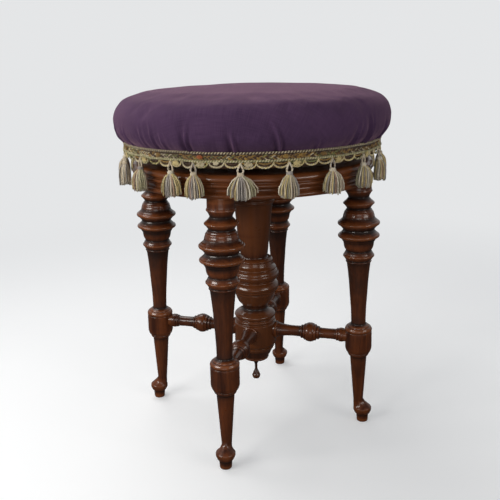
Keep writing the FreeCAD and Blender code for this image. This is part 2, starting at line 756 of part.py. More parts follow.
def thread(body, name, kind, grow, start, height):
    """A helical ridge or groove on a body: the spindle's thread, grown by a clearance."""
    middle = start + s.thread_pitch / 2
    foot = s.thread_core_radius - s.thread_fit
    crest = s.thread_core_radius + s.thread_depth + grow
    wide = s.thread_root / 2 + grow
    narrow = s.thread_crest / 2 + grow
    profile = outline_sketch(
        body,
        name + "_section",
        [
            (foot, middle - wide),
            (crest, middle - narrow),
            (crest, middle + narrow),
            (foot, middle + wide),
        ],
    )
    doc.recompute()
    helix = body.newObject(kind, name)
    helix.Profile = profile
    helix.ReferenceAxis = (profile, ["V_Axis"])
    helix.Mode = "pitch-height-angle"
    helix.LeftHanded = False
    helix.Refine = False
    helix.setExpression("Pitch", s.thread_pitch.text)
    helix.setExpression("Height", height.text)
    return helix


def seat_underside():
    return s.stand_height + s.board_thickness + s.rest_gap


def thread_turns(length):
    """A length cut down to whole turns of the thread."""
    turns = math.floor(length.value / s.thread_pitch.value)
    return s.thread_pitch * turns


def spindle_length():
    """The spindle over its shoulder, up to the back of the plate."""
    return seat_underside() + s.sunk + s.plate_thickness - spindle_shoulder()


def seat_spindle():
    """The screw, standing on its shoulder, with a thinner tail under it."""
    outline = [
        (0, 0),
        (s.tail_radius, 0),
        (s.tail_radius, tail_length()),
        (s.thread_core_radius, tail_length()),
        (s.thread_core_radius, tail_length() + spindle_length()),
        (0, tail_length() + spindle_length()),
    ]
    body = turned("spindle_turned", outline)
    doc.recompute()
    room = spindle_length() - s.plate_thickness - s.thread_runout - s.thread_pitch
    thread(
        body,
        "spindle_thread",
        "PartDesign::AdditiveHelix",
        as_size(0),
        tail_length() + s.washer_play,
        thread_turns(room),
    )
    place(body, z=spindle_shoulder() - tail_length())
    return node(body, "seat_spindle")


def screw_nut(screws):
    """The flanged nut, its thread in step with the spindle's, made from the spindle's own start."""
    outline = [
        (s.thread_core_radius + s.thread_fit, 0),
        (s.nut_radius, 0),
        (s.nut_radius, s.nut_length - s.flange_thickness),
        (s.flange_radius, s.nut_length - s.flange_thickness),
        (s.flange_radius, s.nut_length),
        (s.thread_core_radius + s.thread_fit, s.nut_length),
    ]
    body = turned("nut_turned", outline)
    doc.recompute()
    below = nut_bottom() - spindle_shoulder() - s.washer_play
    turns_below = math.floor(below.value / s.thread_pitch.value) - 1
    start = s.thread_pitch * turns_below - below
    thread(
        body,
        "nut_thread",
        "PartDesign::SubtractiveHelix",
        s.thread_fit,
        start,
        thread_turns(s.nut_length) + s.thread_pitch * 2,
    )
    place(body, z=nut_bottom())
    return node(cut("screw_nut", body, screws), "screw_nut")


def wood_screws(name, count, circle, length, face, way):
    """A group of countersunk wood screws on a circle. Way is 1 to drive them up, -1 down."""
    made = []
    for number in range(count):
        angle = math.radians(360 / count * (number + 0.5))
        x = circle * Size(math.cos(angle), f"{math.cos(angle):.6f}")
        y = circle * Size(math.sin(angle), f"{math.sin(angle):.6f}")
        head = doc.addObject("Part::Cone", f"{name}_head_{number}")
        bind(
            head, Radius1=s.screw_head_radius, Radius2=s.screw_radius, Height=s.screw_head_height
        )
        flip = {"axis": (1, 0, 0), "turn": 0 if way > 0 else 180}
        place(head, x=x, y=y, z=face, **flip)
        shank = rod(f"{name}_shank_{number}", s.screw_radius, length, x=x, y=y, z=face, **flip)
        made.append(fuse(f"{name}_{number}", [head, shank]))
    group = doc.addObject("Part::Compound", name)
    group.Links = made
    return node(group, name)


def stop_parts():
    """The loose stop washer and the nut that keeps it on the spindle's tail."""
    washer = turned(
        "washer_turned",
        [
            (s.tail_radius + s.washer_play, 0),
            (s.washer_radius, 0),
            (s.washer_radius, s.washer_thickness),
            (s.tail_radius + s.washer_play, s.washer_thickness),
        ],
    )
    washer_low = spindle_shoulder() - s.washer_play - s.washer_thickness
    node(place(washer, z=washer_low), "stop_washer")
    blank = doc.addObject("Part::Prism", "stop_nut_blank")
    blank.Polygon = 6
    bind(blank, Circumradius=s.stop_nut_radius, Height=s.stop_nut_height)
    nut_low = washer_low - s.washer_play - s.stop_nut_height
    place(blank, z=nut_low)
    hole = rod("stop_nut_hole", s.tail_radius, s.stop_nut_height * 2,
               z=nut_low - s.stop_nut_height / 2)
    node(cut("stop_nut", blank, hole), "stop_nut")


def seat_plate(screws):
    """The iron plate that the spindle is riveted into."""
    outline = [
        (s.thread_core_radius, 0),
        (s.plate_radius, 0),
        (s.plate_radius, s.plate_thickness),
        (s.thread_core_radius, s.plate_thickness),
    ]
    body = place(turned("plate_turned", outline), z=seat_underside() + s.sunk)
    return node(cut("seat_plate", body, screws), "seat_plate")


def tacks():
    """The cover tacks, driven in round the board's edge as one group."""
    made = []
    count = round(s.tack_count.value)
    for number in range(count):
        angle = 360 / count * number
        shank = rod(
            f"tack_shank_{number}",
            s.tack_radius,
            s.tack_length + s.cloth_gap + s.cloth + s.tack_head_height,
            x=seat_board_radius() - s.tack_length,
            z=seat_underside() + s.tack_rise,
            axis=(0, 1, 0),
            turn=90,
        )
        head = rod(
            f"tack_head_{number}",
            s.tack_head_radius,
            s.tack_head_height,
            x=cover_outside(),
            z=seat_underside() + s.tack_rise,
            axis=(0, 1, 0),
            turn=90,
        )
        made.append(place(fuse(f"tack_{number}", [shank, head]), turn=angle))
    group = doc.addObject("Part::Compound", "cover_tacks")
    group.Links = made
    return node(group, "cover_tacks")


def seat_board(hardware):
    """The round board, recessed for the plate and cut by its screws and by the tacks."""
    outline = [
        (0, 0),
        (seat_board_radius() - s.seat_board_round, 0),
        (seat_board_radius(), s.seat_board_round, s.seat_board_round * 0.29),
        (seat_board_radius(), s.seat_board_thickness),
        (0, s.seat_board_thickness),
    ]
    body = place(turned("seat_board_turned", outline), z=seat_underside())
    recess = rod(
        "plate_recess",
        s.plate_radius + s.glue_gap,
        s.plate_thickness + s.sunk,
        z=seat_underside(),
    )
    return node(cut("seat_board", body, fuse("seat_board_cuts", [recess, *hardware])), "seat_board")


def crown_corners(inset):
    """The seat's outside from the braid up to the crown, moved in by an inset."""
    crown = s.seat_board_thickness + s.seat_depth
    rim = s.seat_radius - s.shoulder_in - inset
    return [
        (seat_board_radius() + s.tuck_out - inset, s.seat_board_thickness),
        (s.seat_radius - inset, s.seat_board_thickness + s.widest_rise, s.tuck_bulge),
        (rim, crown - s.shoulder_fall - inset, s.shoulder_bulge),
        (0, crown - inset, dome_bulge(rim, s.shoulder_fall)),
    ]


def seat_cover(tack_group):
    """The cover cloth as a shell: over the stuffing, then down the board's edge to its hem."""
    outside = cover_outside()
    inside = outside - s.cloth
    outer = crown_corners(as_size(0))
    inner = crown_corners(s.cloth)
    outline = [
        (inside, s.cover_hem),
        (outside, s.cover_hem),
        (outside, s.seat_board_thickness - s.cloth),
        *outer,
        (0, inner[3][1]),
        (inner[2][0], inner[2][1], inner[3][2] * -1),
        (inner[1][0], inner[1][1], s.shoulder_bulge * -1),
        (inner[0][0], inner[0][1] + s.cloth, s.tuck_bulge * -1),
        (inside, s.seat_board_thickness),
    ]
    body = place(turned("cover_turned", outline), z=seat_underside())
    return node(cut("seat_cover", body, tack_group), "seat_cover")


def stuffing_pad():
    """The stuffing, as one plain pad that fills the cover over the board."""
    inset = s.cloth + s.cloth_gap
    corners = crown_corners(inset)
    outline = [
        (0, s.seat_board_thickness),
        (seat_board_radius(), s.seat_board_thickness),
        (corners[0][0], s.seat_board_thickness + s.cloth + s.cloth_gap),
        *corners[1:],
    ]
    return node(place(turned("pad_turned", outline), z=seat_underside()), "stuffing_pad")


def cover_outside():
    return seat_board_radius() + s.cloth_gap + s.cloth


def braid_inside():
    return cover_outside() + s.tack_head_height + s.braid_gap


def gimp_braid():
    """The braid: a woven band with a cord along its top and scallops under its straight edge."""
    inside = braid_inside()
    outside = inside + s.braid_thickness
    top = s.seat_board_thickness - s.cloth - s.braid_gap
    band = place(
        turned(
            "braid_band",
            [
                (inside, s.braid_rise),
                (outside, s.braid_rise),
                (outside, top - s.cord_radius * 2),
                (outside, top, s.cord_radius * 0.8),
                (cover_outside(), top),
                (cover_outside(), top - s.cord_radius),
                (inside, top - s.cord_radius),
            ],
        ),
        z=seat_underside(),
    )
    pieces = [band]
    for number, angle in enumerate(scallop_angles()):
        scallop = rod(
            f"scallop_{number}",
            s.scallop_radius,
            s.scallop_thickness,
            x=inside + (s.braid_thickness - s.scallop_thickness) / 2,
            z=seat_underside() + s.braid_rise - s.scallop_drop + s.scallop_radius,
            axis=(0, 1, 0),
            turn=90,
        )
        single = doc.addObject("Part::Compound", f"scallop_turned_{number}")
        single.Links = [scallop]
        pieces.append(place(single, turn=angle))
    return node(fuse("gimp_braid", pieces), "gimp_braid")


def scallop_angles():
    """Where each scallop sits, in degrees from the right: evenly between neighbouring tassels."""
    between = round(s.scallops_between.value)
    at_join = round(s.scallops_at_join.value)
    gaps = round(s.tassel_count.value) - 1
    step = s.tassel_spacing / between
    join = (as_size(360) - s.tassel_spacing * gaps) / at_join
    first = s.tassel_start
    angles = [first + step * (number + 0.5) for number in range(between * gaps)]
    last = first + s.tassel_spacing * gaps
    return angles + [last + join * (number + 0.5) for number in range(at_join)]


def tassel_skirt():
    """Head, binding and skirt of one tassel, lofted through ovals from the hem up."""
    hang = braid_inside() + s.braid_thickness + s.loop_cord_radius - s.loop_stitch
    loop_middle = seat_underside() + s.braid_rise - s.scallop_drop
    head = loop_middle - s.tassel_head_drop
    neck = head - s.tassel_neck_drop
    hem = neck - s.tassel_length
    out = hang + s.tassel_lean
    ovals = (
        (hem, s.tassel_half_depth * 0.9, s.tassel_half_width * 0.94, out),
        (hem + s.tassel_length * 0.2, s.tassel_half_depth, s.tassel_half_width, out),
        (hem + s.tassel_length * 0.6, s.tassel_half_depth * 0.9, s.tassel_half_width * 0.78, out),
        (neck - s.tassel_length * 0.08, s.tassel_half_depth * 0.6, s.tassel_half_width * 0.36,
         hang + s.tassel_lean * 0.5),
        (neck, s.tassel_neck_radius, s.tassel_neck_radius * 1.05, hang + s.tassel_lean * 0.3),
    )
    body = doc.addObject("PartDesign::Body", "tassel_body")
    sections = []
    for number, (height, depth, width, away) in enumerate(ovals):
        sketch = body.newObject("Sketcher::SketchObject", f"tassel_oval_{number}")
        sketch.AttachmentSupport = [(origin_plane(body, "XY_Plane"), "")]
        sketch.MapMode = "FlatFace"
        sketch.setExpression("AttachmentOffset.Base.z", height.text)
        sketch.addGeometry(
            Part.Ellipse(
                FreeCAD.Vector(away.value, width.value, 0),
                FreeCAD.Vector(away.value + depth.value, 0, 0),
                FreeCAD.Vector(away.value, 0, 0),
            ),
            False,
        )
        sketch.exposeInternalGeometry(0)
        rules = [
            Sketcher.Constraint("PointOnObject", 0, 3, -1),
            Sketcher.Constraint("DistanceX", -1, 1, 0, 3, away.value),
            Sketcher.Constraint("Vertical", 1),
            Sketcher.Constraint("DistanceY", 1, 2, 1, 1, width.value * 2),
            Sketcher.Constraint("DistanceX", 2, 1, 2, 2, depth.value * 2),
        ]
        first = len(sketch.Constraints)
        sketch.addConstraint(rules)
        sizes = ((1, away), (3, width * 2), (4, depth * 2))
        for offset, size in sizes:
            value = sketch.Constraints[first + offset].Value
            text = size.text if value > 0 else f"-{size.text}"
            sketch.setExpression(f"Constraints[{first + offset}]", text)
        sections.append(sketch)
    loft = body.newObject("PartDesign::AdditiveLoft", "tassel_loft")
    loft.Profile = sections[0]
    loft.Sections = sections[1:]
    loft.Closed = False
    loft.Ruled = False
    ball = doc.addObject("Part::Sphere", "tassel_head")
    bind(ball, Radius=s.tassel_head_radius)
    place(ball, x=hang + s.tassel_lean * 0.2, z=head)
    loop = doc.addObject("Part::Torus", "tassel_loop")
    bind(loop, Radius1=s.loop_radius, Radius2=s.loop_cord_radius)
    place(loop, x=hang, z=loop_middle - s.loop_radius / 4, axis=(0, 1, 0), turn=90)
    return [body, ball, loop]


def tassels():
    """Every tassel is the same three shapes fused, turned to its own place round the seat."""
    pieces = tassel_skirt()
    for number in range(round(s.tassel_count.value)):
        made = fuse(f"tassel_{number + 1:02d}", pieces)
        place(made, turn=s.tassel_start + s.tassel_spacing * number)
        node(made, f"tassel_{number + 1:02d}")


def stand():
    made = legs()
    top = s.stand_height + s.board_thickness - s.sunk
    screws = wood_screws(
        "nut_screws", 3, s.nut_screw_circle, s.nut_screw_length, top, -1
    )
    column = centre_column()
    top_board([screws])
    drop_finial()
    stretchers(made["right"], column)
    screw_nut(screws)


def seat():
    seat_spindle()
    stop_parts()
    screws = wood_screws(
        "seat_plate_screws",
        4,
        s.plate_screw_circle,
        s.plate_screw_length,
        seat_underside() + s.sunk,
        1,
    )
    seat_plate(screws)
    tack_group = tacks()
    seat_board([screws, tack_group])
    stuffing_pad()
    seat_cover(tack_group)
    gimp_braid()
    tassels()


def check(things):
    """Stops if any object failed, or if a piece isn't whole solids."""
    for thing in things:
        if "Invalid" in thing.State or "Error" in thing.State:
            raise RuntimeError(f"{thing.Label} failed: {thing.State}")
    for piece in nodes:
        shape = piece.Shape
        if shape.isNull() or not shape.isValid() or not shape.Solids:
            raise RuntimeError(f"{piece.Label} has no whole shape")
        box = shape.BoundBox
        print(
            f"{piece.Label}: {len(shape.Solids)} solid, {shape.Volume:.1f} mm3, "
            f"z {box.ZMin:.1f} to {box.ZMax:.1f}, x {box.XMin:.1f} to {box.XMax:.1f}"
        )


def write(pieces):
    os.makedirs("parts", exist_ok=True)
    for piece in pieces:
        piece.Shape.exportStep(os.path.join("parts", f"{piece.Label}.step"))


stand()
seat()
doc.recompute()
check(doc.Objects)
write(nodes)
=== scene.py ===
import math
import random

import bmesh
import bpy
from mathutils import Matrix, Vector, kdtree, noise

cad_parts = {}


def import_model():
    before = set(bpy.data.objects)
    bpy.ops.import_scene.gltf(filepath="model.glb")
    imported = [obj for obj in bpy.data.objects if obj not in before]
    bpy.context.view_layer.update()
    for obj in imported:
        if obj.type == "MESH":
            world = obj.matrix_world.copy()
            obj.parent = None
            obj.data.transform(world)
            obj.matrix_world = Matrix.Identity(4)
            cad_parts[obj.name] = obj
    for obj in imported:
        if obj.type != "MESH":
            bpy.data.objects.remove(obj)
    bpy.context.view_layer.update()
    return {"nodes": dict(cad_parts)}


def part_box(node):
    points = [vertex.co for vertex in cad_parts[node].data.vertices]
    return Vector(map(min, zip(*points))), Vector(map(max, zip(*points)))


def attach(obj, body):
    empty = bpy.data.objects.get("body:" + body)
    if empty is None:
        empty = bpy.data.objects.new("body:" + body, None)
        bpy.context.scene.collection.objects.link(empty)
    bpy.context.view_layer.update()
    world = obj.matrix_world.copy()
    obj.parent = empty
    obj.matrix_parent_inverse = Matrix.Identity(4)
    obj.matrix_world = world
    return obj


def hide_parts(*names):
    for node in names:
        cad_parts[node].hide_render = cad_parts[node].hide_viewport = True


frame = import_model()

MM = 0.001
FULL_TURN = 2 * math.pi
QUARTERS = {"right": 0, "back": 90, "left": 180, "front": 270}

# Turning: how finely a profile and its turn are divided, and how soft its edges are.
TURN_STEPS = 72
ARC_STEP = math.radians(14)
LINE_STEP = 3.0
SOFT_EDGE = 0.35
SOFT_ANGLE = math.radians(24)
MERGE = 0.002
# A point's depth in its turning is measured against the mean radius this far up and down.
HOLLOW_REACH = 7.0
HOLLOW_DEPTH = 3.5

# Heights that the solids give, in millimetres.
board_low, board_high = (corner.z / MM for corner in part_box("top_board"))
column_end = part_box("centre_column")[0].z / MM

# Where a leg's axis meets the floor, how it leans in, and the height of the stretchers.
leg_axis_floor = 159.3
leg_lean = math.radians(1.25)
knee = 136.4


def linked(name, mesh):
    """An object at the origin that shows a mesh."""
    made = bpy.data.objects.new(name, mesh)
    bpy.context.scene.collection.objects.link(made)
    return made


def arc_points(start, end, bulge):
    """Points after start up to end along an arc that bulges to the right of its way."""
    chord = end - start
    half = chord.length / 2
    radius = (half * half + bulge * bulge) / (2 * bulge)
    side = Vector((chord.y, -chord.x)).normalized()
    centre = (start + end) / 2 + side * (bulge - radius)
    first = start - centre
    sweep = 4 * math.atan(bulge / half)
    count = max(3, round(abs(sweep) / ARC_STEP))
    return [
        centre + Matrix.Rotation(sweep * number / count, 2) @ first
        for number in range(1, count + 1)
    ]


def traced(corners):
    """A profile's corners of (radius, height) or (radius, height, bulge) as close points."""
    points = [Vector(corners[0][:2])]
    for corner in corners[1:]:
        start = points[-1]
        end = Vector(corner[:2])
        if len(corner) == 3:
            points += arc_points(start, end, corner[2])
            continue
        count = max(1, round((end - start).length / LINE_STEP))
        points += [start.lerp(end, number / count) for number in range(1, count + 1)]
    return points


def spun(points, steps=TURN_STEPS):
    """A closed skin turned about the upright axis from a profile."""
    bm = bmesh.new()
    row = [bm.verts.new((point.x * MM, 0, point.y * MM)) for point in points]
    edges = [bm.edges.new(pair) for pair in zip(row, row[1:])]
    bmesh.ops.spin(
        bm, geom=row + edges, cent=(0, 0, 0), axis=(0, 0, 1), angle=FULL_TURN,
        steps=steps, use_merge=True,
    )
    bmesh.ops.remove_doubles(bm, verts=bm.verts, dist=MERGE * MM)
    bmesh.ops.recalc_face_normals(bm, faces=bm.faces)
    return bm


def soften(bm, width=SOFT_EDGE, angle=SOFT_ANGLE):
    """Rounds the sharp edges of a skin a little, so that they catch the light."""
    sharp = [
        edge for edge in bm.edges
        if len(edge.link_faces) == 2 and edge.calc_face_angle(0) > angle
    ]
    bmesh.ops.bevel(
        bm, geom=sharp, offset=width * MM, segments=2, profile=0.5, affect="EDGES",
        clamp_overlap=True, material=-1,
    )


def hollow_depths(points):
    """How deep each point of a profile lies in it: 0 on the edge of a ring, 1 in a groove."""
    depths = []
    for point in points:
        total = 0
        weight = 0
        for here, after in zip(points, points[1:]):
            if abs(here.y - point.y) < HOLLOW_REACH:
                share = (after - here).length
                total += share * (here.x + after.x) / 2
                weight += share
        lower = total / max(weight, 0.001) - point.x
        depths.append(min(1, max(0, 0.5 + lower / HOLLOW_DEPTH / 2)))
    return depths


def mark_hollows(mesh, points):
    """Writes the depth of each vertex in its turning to the mesh, for dirt, wear and painted shade in
    the grooves.
    """
    tree = kdtree.KDTree(len(points))
    for number, point in enumerate(points):
        tree.insert((point.x, 0, point.y), number)
    tree.balance()
    depths = hollow_depths(points)
    values = []
    for vertex in mesh.vertices:
        radius = math.hypot(vertex.co.x, vertex.co.y) / MM
        near = tree.find((radius, 0, vertex.co.z / MM))
        values.append(depths[near[1]])
    layer = mesh.attributes.new("hollow", "FLOAT", "POINT")
    layer.data.foreach_set("value", values)


def turning(name, corners, steps=TURN_STEPS, soft=SOFT_EDGE):
    """A mesh turned from a profile, with soft edges and its hollows marked."""
    points = traced(corners)
    bm = spun(points, steps)
    if soft:
        soften(bm, soft)
    mesh = bpy.data.meshes.new(name)
    bm.to_mesh(mesh)
    bm.free()
    mesh.shade_smooth()
    mark_hollows(mesh, points)
    return mesh


# Materials


def put(tree, socket, value):
    """Sets an input socket to a value, or joins it to another socket."""
    if isinstance(value, bpy.types.NodeSocket):
        tree.links.new(value, socket)
    else:
        socket.default_value = value


def add(tree, kind, inputs=None, **properties):
    """A node with its properties, and its inputs set to values or joined to sockets."""
    made = tree.nodes.new(kind)
    for name, value in properties.items():
        setattr(made, name, value)
    for name, value in (inputs or {}).items():
        put(tree, made.inputs[name], value)
    return made


def clouds(tree, place, scale, detail, distortion=0.0):
    """A noise texture over a place: its level from 0 to 1."""
    made = add(
        tree, "ShaderNodeTexNoise",
        {"Vector": place, "Scale": scale, "Detail": detail, "Distortion": distortion},
    )
    return made.outputs["Fac"]


def stretched(tree, place, scale):
    """A place with another scale along each axis."""
    return add(tree, "ShaderNodeMapping", {"Vector": place, "Scale": scale}).outputs[0]


def ramp(tree, factor, stops):
    """A colour ramp through (position, colour) stops."""
    made = add(tree, "ShaderNodeValToRGB", {"Fac": factor})
    elements = made.color_ramp.elements
    while len(elements) < len(stops):
        elements.new(0.5)
    for element, (position, colour) in zip(elements, stops):
        element.position = position
        element.color = (*colour, 1) if len(colour) == 3 else colour
    return made.outputs["Color"]


def grey(value):
    """A grey as a colour of three parts."""
    return (value, value, value)


def mixed(tree, factor, first, second, blend="MIX"):
    """One colour mixed into another."""
    made = add(tree, "ShaderNodeMix", data_type="RGBA", blend_type=blend)
    for number, value in ((0, factor), (6, first), (7, second)):
        put(tree, made.inputs[number], value)
    return made.outputs[2]


def maths(tree, operation, *values):
    """One sum of numbers or sockets."""
    made = add(tree, "ShaderNodeMath", operation=operation)
    for socket, value in zip(made.inputs, values):
        put(tree, socket, value)
    return made.outputs[0]


def new_group(name, inputs, outputs):
    """A shader node group with named inputs of (kind, value) and named outputs."""
    group = bpy.data.node_groups.new(name, "ShaderNodeTree")
    kinds = {"colour": "NodeSocketColor", "number": "NodeSocketFloat", "place": "NodeSocketVector"}
    for label, (kind, value) in inputs.items():
        socket = group.interface.new_socket(name=label, in_out="INPUT", socket_type=kinds[kind])
        if value is not None:
            socket.default_value = value
    for label, kind in outputs.items():
        group.interface.new_socket(name=label, in_out="OUTPUT", socket_type=kinds[kind])
    start = group.nodes.new("NodeGroupInput")
    end = group.nodes.new("NodeGroupOutput")
    return group, start.outputs, end.inputs


def use(tree, group, **inputs):
    """Places a node group in a tree. Underscores in a name stand for spaces."""
    made = add(tree, "ShaderNodeGroup", node_tree=group)
    for name, value in inputs.items():
        put(tree, made.inputs[name.replace("_", " ")], value)
    return made.outputs


def timber_figure_group():
    """Long streaks of figure with fine dark pores, both running along Z."""
    tree, start, end = new_group(
        "timber_figure",
        {
            "Place": ("place", None),
            "Pale": ("colour", (0.2, 0.07, 0.03, 1)),
            "Dark": ("colour", (0.05, 0.02, 0.01, 1)),
            "Pores": ("number", 0.5),
        },
        {"Color": "colour", "Height": "number"},
    )
    figure = clouds(tree, stretched(tree, start["Place"], (70, 70, 5)), 1.0, 5.0, 0.8)
    streaks = clouds(tree, stretched(tree, start["Place"], (420, 420, 16)), 1.0, 3.0)
    pores = clouds(tree, stretched(tree, start["Place"], (1500, 1500, 70)), 1.0, 2.0)
    blend = maths(tree, "MULTIPLY_ADD", streaks, 0.35, figure)
    spread = ramp(tree, blend, [(0.45, grey(0)), (0.85, grey(1))])
    wood = mixed(tree, spread, start["Dark"], start["Pale"])
    dots = ramp(tree, pores, [(0.3, grey(1)), (0.42, grey(0))])
    depth = maths(tree, "MULTIPLY", dots, start["Pores"])
    end_colour = mixed(tree, depth, wood, (0.012, 0.005, 0.003, 1))
    tree.links.new(end_colour, end["Color"])
    low = maths(tree, "MULTIPLY", depth, -1.0)
    tree.links.new(maths(tree, "MULTIPLY_ADD", streaks, 0.3, low), end["Height"])
    return tree


def old_polish_group():
    """French polish over years: dark wax and painted shade in the hollows, rubbed edges, hazy and
    clear patches.
    """
    tree, start, end = new_group(
        "old_polish",
        {
            "Place": ("place", None),
            "Color": ("colour", (0.2, 0.07, 0.03, 1)),
            "Hollow": ("number", 0.5),
            "Wax": ("colour", (0.011, 0.004, 0.0025, 1)),
            "Rubbed": ("colour", (0.2, 0.062, 0.018, 1)),
        },
        {"Color": "colour", "Roughness": "number"},
    )
    cloud = clouds(tree, start["Place"], 38.0, 4.0)
    specks = clouds(tree, start["Place"], 340.0, 2.0)
    uneven = maths(tree, "MULTIPLY_ADD", cloud, 0.3, start["Hollow"])
    # Wax in the hollows, deepened nearly to black as painted shade in the grooves between the rings.
    wax_and_shade = ramp(tree, uneven, [(0.62, grey(0)), (0.92, grey(0.94))])
    rubbed = ramp(tree, uneven, [(0.34, grey(0.55)), (0.58, grey(0))])
    worn = mixed(tree, rubbed, start["Color"], start["Rubbed"])
    tree.links.new(mixed(tree, wax_and_shade, worn, start["Wax"]), end["Color"])
    haze = maths(tree, "MULTIPLY_ADD", cloud, 0.16, 0.19)
    grit = maths(tree, "MULTIPLY_ADD", specks, 0.08, haze)
    rough = maths(tree, "MULTIPLY_ADD", wax_and_shade, 0.22, grit)
    tree.links.new(rough, end["Roughness"])
    return tree


def woven_cloth_group():
    """Plain weave with uneven threads, over a place in metres on the flat cloth."""
    tree, start, end = new_group(
        "woven_cloth",
        {
            "Place": ("place", None),
            "Threads": ("number", 1500.0),
            "Color": ("colour", (0.14, 0.06, 0.18, 1)),
            "Shade": ("colour", (0.05, 0.02, 0.07, 1)),
        },
        {"Color": "colour", "Height": "number"},
    )
    counted = add(
        tree, "ShaderNodeVectorMath", {0: start["Place"], 1: (FULL_TURN / 2,) * 3},
        operation="MULTIPLY",
    )
    scaled = add(tree, "ShaderNodeVectorMath", {0: counted.outputs[0]}, operation="SCALE")
    tree.links.new(start["Threads"], scaled.inputs["Scale"])
    parts = add(tree, "ShaderNodeSeparateXYZ", {0: scaled.outputs[0]})
    warp = maths(tree, "SINE", parts.outputs["X"])
    weft = maths(tree, "SINE", parts.outputs["Y"])
    crossing = maths(tree, "MULTIPLY", warp, weft)
    slubs = [
        clouds(tree, stretched(tree, start["Place"], scale), 1.0, 2.0)
        for scale in ((1000, 45, 1), (45, 1000, 1))
    ]
    slub = maths(tree, "ADD", *slubs)
    cloud = clouds(tree, start["Place"], 16.0, 3.0)
    tone = maths(tree, "MULTIPLY_ADD", crossing, 0.05, maths(tree, "MULTIPLY", slub, 0.45))
    tone = maths(tree, "MULTIPLY_ADD", cloud, 0.5, tone)
    mix = ramp(tree, tone, [(0.5, grey(0)), (0.92, grey(1))])
    tree.links.new(mixed(tree, mix, start["Shade"], start["Color"]), end["Color"])
    tree.links.new(maths(tree, "MULTIPLY_ADD", slub, 0.6, crossing), end["Height"])
    return tree


def spun_thread_group():
    """Twisted thread: slanting plies along a cord's own map, with painted shade between the plies,
    uneven dye and stray fibres.
    """
    tree, start, end = new_group(
        "spun_thread",
        {
            "Along": ("place", None),
            "Place": ("place", None),
            "Twists": ("number", 12.0),
            "Color": ("colour", (0.5, 0.45, 0.35, 1)),
            "Second": ("colour", (0.3, 0.28, 0.2, 1)),
        },
        {"Color": "colour", "Height": "number"},
    )
    parts = add(tree, "ShaderNodeSeparateXYZ", {0: start["Along"]})
    run = maths(tree, "MULTIPLY", parts.outputs["Y"], start["Twists"])
    slant = maths(tree, "MULTIPLY_ADD", parts.outputs["X"], 2.0, run)
    ply = maths(tree, "SINE", maths(tree, "MULTIPLY", slant, FULL_TURN))
    dye = clouds(tree, start["Place"], 160.0, 3.0)
    fibre = clouds(tree, start["Place"], 1900.0, 1.0)
    tone = maths(tree, "MULTIPLY_ADD", fibre, 0.35, dye)
    spread = ramp(tree, tone, [(0.42, grey(0)), (0.78, grey(1))])
    yarn = mixed(tree, spread, start["Second"], start["Color"])
    # Painted shade: the colour darkens on one side of each ply, where the next ply shades it.
    painted_ply_shade = ramp(tree, ply, [(0.0, grey(0.72)), (0.5, grey(1))])
    tree.links.new(mixed(tree, 1.0, yarn, painted_ply_shade, "MULTIPLY"), end["Color"])
    tree.links.new(maths(tree, "MULTIPLY_ADD", fibre, 0.8, ply), end["Height"])
    return tree


def old_iron_group():
    """Forged iron: dark scale and brown rust in patches, with pits in its surface."""
    tree, start, end = new_group(
        "old_iron",
        {
            "Place": ("place", None),
            "Scale colour": ("colour", (0.06, 0.058, 0.056, 1)),
            "Rust": ("colour", (0.12, 0.05, 0.025, 1)),
            "Rusty": ("number", 0.5),
        },
        {"Color": "colour", "Roughness": "number", "Height": "number"},
    )
    patches = clouds(tree, start["Place"], 70.0, 6.0)
    pits = add(tree, "ShaderNodeTexVoronoi", {"Vector": start["Place"], "Scale": 520.0})
    level = maths(tree, "MULTIPLY", patches, start["Rusty"])
    spread = ramp(tree, level, [(0.2, grey(0)), (0.36, grey(1))])
    tree.links.new(mixed(tree, spread, start["Scale colour"], start["Rust"]), end["Color"])
    tree.links.new(maths(tree, "MULTIPLY_ADD", spread, 0.35, 0.36), end["Roughness"])
    rough = maths(tree, "MULTIPLY_ADD", pits.outputs["Distance"], 0.5, patches)
    tree.links.new(rough, end["Height"])
    return tree


timber_figure = timber_figure_group()
old_polish = old_polish_group()
woven_cloth = woven_cloth_group()
spun_thread = spun_thread_group()
old_iron = old_iron_group()


def new_material(name, **constants):
    """A material with one Principled shader, and that shader's constant sockets."""
    material = bpy.data.materials.new(name)
    material.use_nodes = True
    tree = material.node_tree
    tree.nodes.clear()
    output = tree.nodes.new("ShaderNodeOutputMaterial")
    shader = tree.nodes.new("ShaderNodeBsdfPrincipled")
    tree.links.new(shader.outputs["BSDF"], output.inputs["Surface"])
    for label, value in constants.items():
        shader.inputs[label.replace("_", " ")].default_value = value
    return material, tree, shader.inputs


def bump(tree, sockets, height, distance, strength=1.0):
    """Joins a height to the shader's normal. The distance is in millimetres."""
    made = add(
        tree, "ShaderNodeBump",
        {"Height": height, "Distance": distance * MM, "Strength": strength},
    )
    tree.links.new(made.outputs["Normal"], sockets["Normal"])


def object_place(tree, turn=(0, 0, 0)):
    """Where a point lies in the piece, turned so that the grain runs along the piece."""
    place = add(tree, "ShaderNodeTexCoord")
    made = add(tree, "ShaderNodeMapping", {"Vector": place.outputs["Object"], "Rotation": turn})
    return made.outputs[0]


def darkened(red, green, blue, tone):
    """A wood colour deepened by a tone."""
    return (red * tone, green * tone, blue * tone, 1)


